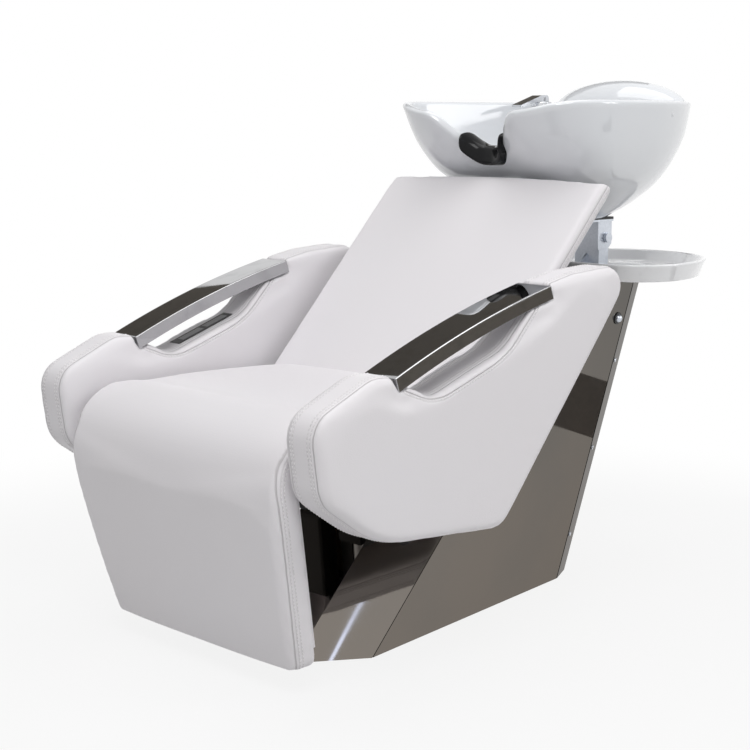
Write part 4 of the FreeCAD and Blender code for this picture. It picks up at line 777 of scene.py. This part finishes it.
for hand, side, arm_cover in (("left", 1.0, left_cover), ("right", -1.0, right_cover)):
    draw_in(arm_cover, "seam", lambda co: band_half - abs(abs(co.x) - arm_middle), seam_depth, seam_width)
    draw_in(arm_cover, "lip_seam", past_lip_seam, depth=0.0006, width=0.0030)
    arm_cover.data.materials.append(white_hide)
    from_middle = [way * (band_half - row) for way in (-1.0, 1.0) for row in (first_row, second_row)]
    rows = [rounded_run(arm_outline, side * (arm_middle + off)) for off in from_middle]
    rows += [lip_below(lip_drop + lip_row, side * x) for x in (arm_inner, arm_outer)]
    sew("arm_stitches_" + hand, arm_cover, rows, "root")
    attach(arm_cover, "root")
    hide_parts("arm_" + hand)

# ---- Grips ------------------------------------------------------------------
# A flat steel bar on each arm, arched along its length, with softly rounded
# edges; polished brighter than the base and screwed down from inside the arm.


def edges_along(bm, axis):
    """The edges of a unit cube that run its whole length along this axis: 0 is x, 1 is y."""
    return [e for e in bm.edges if abs(e.verts[0].co[axis] - e.verts[1].co[axis]) > 0.5]


bright_steel, spot = open_finish("bright_polished_steel")
palm = spot.noise(26.0, 4.0).above(0.60, 0.14)
close_finish(bright_steel, {
    "Base Color": palm.tint((0.46, 0.46, 0.47), (0.40, 0.40, 0.41)),
    "Metallic": 1.0,
    "Roughness": palm * 0.03 + 0.02,
})
for hand, side in (("left", 1.0), ("right", -1.0)):
    bm = bmesh.new()
    bmesh.ops.create_cube(bm, size=1.0)
    bmesh.ops.bevel(bm, geom=edges_along(bm, 1), offset=0.04, affect="EDGES", segments=4, profile=0.5,
                    material=-1, clamp_overlap=True)
    bmesh.ops.subdivide_edges(bm, edges=edges_along(bm, 1), cuts=40, use_grid_fill=True)
    for v in bm.verts:
        share = v.co.y + 0.5
        arch = grip_arch * (1.0 - (2.0 * share - 1.0) ** 2)
        place = grip_front.lerp(grip_rear, share) + upward * (arch + grip_thick * (v.co.z - 0.5))
        wide = side * (arm_middle + (arm_outer - arm_inner) * v.co.x)
        v.co = Vector((wide, place.y, place.z))
    grip = settle("grip_bar_" + hand, bm, bright_steel, "root", ["arm_grip_" + hand])
    ends = grip.modifiers.new("ends", "BEVEL")
    ends.width = 0.0012
    ends.segments = 2
    ends.limit_method = "ANGLE"
    ends.angle_limit = math.radians(50.0)
    grip.modifiers.new("flats", "WEIGHTED_NORMAL")

# ---- Tray shelf -------------------------------------------------------------
# A vacuum-formed gloss white tray on top of the base: drafted skirt, rolled rim
# and a flat floor on which the basin's bracket stands.


def shield_point(turn, half, front, middle, back, corner):
    """A point of a shield-shaped plan at this turn: round at the back, a straight front between round corners."""
    c, s = math.cos(turn), math.sin(turn)
    if s >= 0.0:
        return half * c, middle + (back - middle) * s
    flat = half - corner
    lead = (math.degrees(turn) - 180.0) / 180.0
    bend_share = 0.31
    if lead < bend_share:
        bend = math.radians(180.0 + 90.0 * lead / bend_share)
        return -flat + corner * math.cos(bend), middle + (middle - front) * math.sin(bend)
    if lead > 1.0 - bend_share:
        bend = math.radians(270.0 + 90.0 * (lead - 1.0 + bend_share) / bend_share)
        return flat + corner * math.cos(bend), middle + (middle - front) * math.sin(bend)
    return flat * (2.0 * (lead - bend_share) / (1.0 - 2.0 * bend_share) - 1.0), front


def ring_of(bm, segments):
    """A first ring of points, in order round it, with the turn of each."""
    made = bmesh.ops.create_circle(bm, cap_ends=False, radius=1.0, segments=segments)
    ring = made["verts"]
    turns = [math.atan2(v.co.y, v.co.x) % (2 * math.pi) for v in ring]
    order = sorted(range(len(ring)), key=lambda i: turns[i])
    return [ring[i] for i in order], [turns[i] for i in order]


def next_ring(bm, ring, points):
    """Carries the skin on from a ring to a next one, laid on these points."""
    loop = [bm.edges.get((ring[i - 1], ring[i])) for i in range(len(ring))]
    grown = bmesh.ops.extrude_edge_only(bm, edges=loop)["geom"]
    new_verts = {v for v in grown if isinstance(v, bmesh.types.BMVert)}
    follow = [next(e.other_vert(v) for e in v.link_edges if e.other_vert(v) in new_verts) for v in ring]
    for v, point in zip(follow, points):
        v.co = point
    return follow


gloss_white, spot = open_finish("gloss_white_shell")
ripple = spot.noise(9.0, 2.0)
scuff = spot.noise(60.0, 6.0).above(0.66, 0.10)
close_finish(gloss_white, {
    "Base Color": scuff.tint((0.88, 0.885, 0.90), (0.84, 0.845, 0.86)),
    "Roughness": scuff * 0.10 + 0.10,
    "Coat Weight": 1.0,
    "Coat Roughness": 0.03,
    "Normal": ripple.bump(0.0002),
})
tray_low, tray_deck, tray_high = 0.600, 0.609, 0.635
# Each step of the section is a height and how far it lies inside the rim's outline.
tray_section = [
    (tray_low, 0.060), (tray_low, 0.0145), (tray_low + 0.0006, 0.0135), (tray_low + 0.0020, 0.0128),
    (tray_high - 0.0060, 0.0022), (tray_high - 0.0030, 0.0004), (tray_high - 0.0010, 0.0006),
    (tray_high, 0.0026), (tray_high, 0.0064), (tray_high - 0.0010, 0.0084), (tray_high - 0.0032, 0.0096),
    (tray_deck + 0.0062, 0.0205), (tray_deck + 0.0028, 0.0228), (tray_deck + 0.0008, 0.0262),
    (tray_deck, 0.0310), (tray_deck, 0.0600),
]
tray_half, tray_front, tray_middle, tray_back, tray_corner = 0.228, 0.400, 0.515, 0.766, 0.110


def tray_point(turn, z, inset):
    """A point of the tray at this turn and height, this far inside the rim's outline."""
    x, y = shield_point(turn, tray_half - inset, tray_front + inset, tray_middle, tray_back - inset,
                        tray_corner - inset / 2)
    return Vector((x, y, z))


bm = bmesh.new()
ring, turns = ring_of(bm, 160)
first = ring
for v, turn in zip(first, turns):
    v.co = tray_point(turn, *tray_section[0])
for z, inset in tray_section[1:]:
    ring = next_ring(bm, ring, [tray_point(turn, z, inset) for turn in turns])
bmesh.ops.contextual_create(bm, geom=ring)
bmesh.ops.contextual_create(bm, geom=first)
settle("tray_shell", bm, gloss_white, "root", ["top_tray"])

# ---- Basin ------------------------------------------------------------------
# A glazed ceramic basin, slip-cast in one piece: shield-shaped plan, rolled rim,
# neck notch at the front, and a recessed deck with a hump at the back.

glaze, spot = open_finish("white_glaze")
pool = spot.noise(6.5, 2.0)
pit = spot.noise(240.0, 3.0).above(0.72, 0.05)
close_finish(glaze, {
    "Base Color": (pool * 0.8 + pit * 0.2).tint((0.77, 0.785, 0.81), (0.72, 0.742, 0.775)),
    "Roughness": pit * 0.10 + 0.06,
    "Coat Weight": 0.5,
    "Coat Roughness": 0.02,
    "Specular IOR Level": 0.6,
    "Normal": pool.bump(0.0008),
})
basin_low, rim_high, basin_wall = 0.718, 0.948, 0.014
notch_low, notch_flat, notch_half, notch_back = 0.850, 0.010, 0.112, 0.330
shoulder_drop, shoulder_from, shoulder_to = 0.019, 0.100, 0.235
hollow_deep, hollow_half, hollow_low, hollow_high = 0.026, 0.115, 0.775, 0.900
# Height above the basin's foot, half width, front, widest line, back and front corner of each level.
basin_levels = [
    (0.000, 0.062, 0.385, 0.440, 0.540, 0.040), (0.024, 0.112, 0.340, 0.420, 0.580, 0.062),
    (0.058, 0.172, 0.284, 0.372, 0.624, 0.080), (0.088, 0.210, 0.250, 0.325, 0.656, 0.092),
    (0.128, 0.230, 0.202, 0.305, 0.692, 0.124), (0.166, 0.240, 0.168, 0.290, 0.719, 0.148),
    (0.230, 0.250, 0.132, 0.275, 0.737, 0.165),
]


def basin_level(rise):
    """The plan's five measures at this height, on a smooth curve through the levels."""
    i = max(k for k in range(len(basin_levels) - 1) if basin_levels[k][0] <= max(rise, 0.0))
    low, high = basin_levels[i], basin_levels[i + 1]
    before, after = basin_levels[max(i - 1, 0)], basin_levels[min(i + 2, len(basin_levels) - 1)]
    span = high[0] - low[0]
    t = (rise - low[0]) / span
    plan = []
    for k in range(1, 6):
        leave = (high[k] - before[k]) / (high[0] - before[0]) * span
        enter = (after[k] - low[k]) / (after[0] - low[0]) * span
        plan.append((2 * t**3 - 3 * t**2 + 1) * low[k] + (t**3 - 2 * t**2 + t) * leave
                    + (3 * t**2 - 2 * t**3) * high[k] + (t**3 - t**2) * enter)
    return plan


def swing(value, low, high):
    """Rises softly from 0 at low to 1 at high."""
    return (1.0 - math.cos(math.pi * min(1.0, max(0.0, (value - low) / (high - low))))) / 2.0


def hollow(x, z):
    """How far the front is drawn back for the sitter's neck."""
    return hollow_deep * (1.0 - swing(abs(x), 0.0, hollow_half)) * swing(z, hollow_low, hollow_high)


def basin_point(turn, z, inset):
    """A point of the basin's wall at this turn and height, this far inside its outer face."""
    half, front, middle, back, corner = basin_level(min(z, rim_high) - basin_low)
    x, y = shield_point(turn, half - inset, front + inset, middle, back - inset, corner - inset / 2)
    return Vector((x, y + (hollow(x, z) if math.sin(turn) < 0.0 else 0.0), z))


def notch_line(x):
    """The height of the front rim, which dips in its middle for the neck."""
    shoulder = rim_high - shoulder_drop * (1.0 - swing(abs(x), shoulder_from, shoulder_to))
    return notch_low + (shoulder - notch_low) * swing(abs(x), notch_flat, notch_half)


def rim_at(turn):
    """The height of the rim at this turn, closed in on because the wall leans out as it rises."""
    top = rim_high
    if math.sin(turn) < 0.0:
        for _ in range(24):
            at = basin_point(turn, top, basin_wall / 2)
            top += 0.5 * ((notch_line(at.x) if at.y < notch_back else rim_high) - top)
    return top


waste_y, waste_r = 0.422, 0.020
inner_floor = basin_low + 0.016
bm = bmesh.new()
ring, turns = ring_of(bm, 224)
tops = [rim_at(turn) - basin_wall / 2 for turn in turns]
waste_plan = [(waste_r * math.cos(turn), waste_y + waste_r * math.sin(turn)) for turn in turns]
hole_below = [Vector((x, y, basin_low)) for x, y in waste_plan]
hole_above = [Vector((x, y, inner_floor)) for x, y in waste_plan]

# From the waste hole out along the foot and up the outside, over the rolled rim, down the inside and
# back through the hole, where the skin closes.
for v, point in zip(ring, hole_below):
    v.co = point
for step in range(29):
    climb = (step / 28.0) ** 1.15
    points = [basin_point(t, basin_low + (top - basin_low) * climb, 0.0) for t, top in zip(turns, tops)]
    ring = next_ring(bm, ring, points)
for step in range(1, 8):
    roll = math.pi * step / 8.0
    points = []
    for t, top in zip(turns, tops):
        across = basin_point(t, top, 0.0).lerp(basin_point(t, top, basin_wall), (1.0 - math.cos(roll)) / 2.0)
        points.append(across + Vector((0.0, 0.0, basin_wall / 2 * math.sin(roll))))
    ring = next_ring(bm, ring, points)
for step in range(25):
    fall = 1.0 - (1.0 - step / 24.0) ** 1.25
    points = [basin_point(t, top + (inner_floor - top) * fall, basin_wall) for t, top in zip(turns, tops)]
    ring = next_ring(bm, ring, points)
bowl_bottom = [v.co.copy() for v in ring]
for share in (0.35, 0.7, 0.93, 1.0):
    ring = next_ring(bm, ring, [at.lerp(hole, share) for at, hole in zip(bowl_bottom, hole_above)])
next_ring(bm, ring, hole_below)
settle("basin_shell", bm, glaze, "bowl", ["bowl"])

# The deck fills the back of the basin, from a lip across the bowl to the wall, and swells into the hump.
deck_high, deck_thick, deck_turn, unit_high = 0.928, 0.014, 27.6, 0.9918
deck_lip_half, deck_lip_y, deck_lip_bow, deck_lip_drop = 0.205, 0.486, 0.040, 0.010
hump_y, hump_half, hump_deep, hump_rise = 0.606, 0.165, 0.072, 0.064
bm = bmesh.new()
bmesh.ops.create_grid(bm, x_segments=150, y_segments=44, size=0.5)
for v in bm.verts:
    around, out = math.pi * (v.co.x + 0.5), v.co.y + 0.5
    lip = Vector((deck_lip_half * math.cos(around), deck_lip_y + deck_lip_bow * math.sin(around), 0.0))
    turn = math.radians(deck_turn) + around * (180.0 - 2.0 * deck_turn) / 180.0
    at = lip.lerp(basin_point(turn, deck_high, basin_wall - 0.002), out)
    swell = 1.0 - (at.x / hump_half) ** 2 - ((at.y - hump_y) / hump_deep) ** 2
    hump = hump_rise * math.sqrt((swell + math.sqrt(swell * swell + 0.0010)) / 2.0)
    drop = deck_lip_drop * max(0.0, 1.0 - out / 0.07) ** 2
    v.co = (at.x, at.y, min(deck_high + hump - drop, unit_high))
hose_hole, hose_r = Vector((0.158, 0.542, deck_high)), 0.0125
opened = [f for f in bm.faces if (f.calc_center_median() - hose_hole).length < hose_r]
bmesh.ops.delete(bm, geom=opened, context="FACES")
deck = settle("basin_deck", bm, glaze, "bowl", [])
body_of_deck = deck.modifiers.new("body", "SOLIDIFY")
body_of_deck.thickness = deck_thick
body_of_deck.offset = -1.0

# ---- Neck pad ---------------------------------------------------------------
# A soft black rubber pad hooked over the notch: it carries the sitter's neck,
# follows the dip of the rim and is thick on the basin's inside.

soft_black, spot = open_finish("soft_black_rubber")
sheen = spot.noise(30.0, 3.0)
close_finish(soft_black, {
    "Base Color": sheen.tint((0.006, 0.006, 0.007), (0.011, 0.011, 0.012)),
    "Roughness": sheen * 0.06 + 0.12,
    "Specular IOR Level": 0.16,
    "Normal": sheen.bump(0.0005),
})
pad_wide, pad_deep, pad_tall, pad_crown = 0.104, 0.046, 0.033, 0.006
pad_before, pad_below = 0.009, 0.024
bm = bmesh.new()
bmesh.ops.create_cube(bm, size=1.0)
bmesh.ops.subdivide_edges(bm, edges=edges_along(bm, 0), cuts=15)
bmesh.ops.subdivide_edges(bm, edges=edges_along(bm, 1), cuts=3)
for v in bm.verts:
    x, depth, high = pad_wide * v.co.x, v.co.y + 0.5, v.co.z + 0.5
    line = notch_line(x)
    front = basin_level(line - basin_low)[1] + hollow(x, line)
    crown = pad_crown * math.sin(math.pi * depth) * high
    v.co = (x, front - pad_before + pad_deep * depth, line - pad_below + pad_tall * high + crown)
pad = settle("neck_pad", bm, soft_black, "bowl", ["neck_rest"])
soften = pad.modifiers.new("soften", "SUBSURF")
soften.levels = 2
soften.render_levels = 2

# ---- Mixer ------------------------------------------------------------------
# A single-lever mixer on the deck: turned brass body and cap with a wedge lever,
# all chromium plated. The cap swivels, and the lever lifts on a cross pin.

chrome, spot = open_finish("chromium_plate")
water_mark = spot.noise(70.0, 5.0).above(0.60, 0.14)
close_finish(chrome, {
    "Base Color": water_mark.tint((0.68, 0.69, 0.71), (0.62, 0.63, 0.65)),
    "Metallic": 1.0,
    "Roughness": water_mark * 0.06 + 0.05,
})
mixer_at = Vector((-0.156, 0.540, deck_high))


def turned(name, profile, body, nodes):
    """A piece turned on a lathe about the mixer's axis from its radius and height steps."""
    bm = bmesh.new()
    line = [bm.verts.new(mixer_at + Vector((r, 0.0, z))) for r, z in profile]
    edges = [bm.edges.new(pair) for pair in zip(line, line[1:])]
    bmesh.ops.spin(bm, geom=line + edges, cent=mixer_at, axis=(0, 0, 1), angle=2 * math.pi, steps=64,
                   use_merge=True)
    return settle(name, bm, chrome, body, nodes)


turned("mixer_barrel", [
    (0.0, 0.0), (0.026, 0.0), (0.026, 0.0018), (0.0252, 0.0028), (0.0235, 0.0031), (0.0215, 0.0036),
    (0.0210, 0.0050), (0.0210, 0.0108), (0.0205, 0.0117), (0.0195, 0.0120), (0.0, 0.0120),
], "bowl", ["mixer_body"])
for node in ("mixer_cap", "mixer_lever", "hose_guide", "waste_fitting", "strainer"):
    dress(node, chrome)
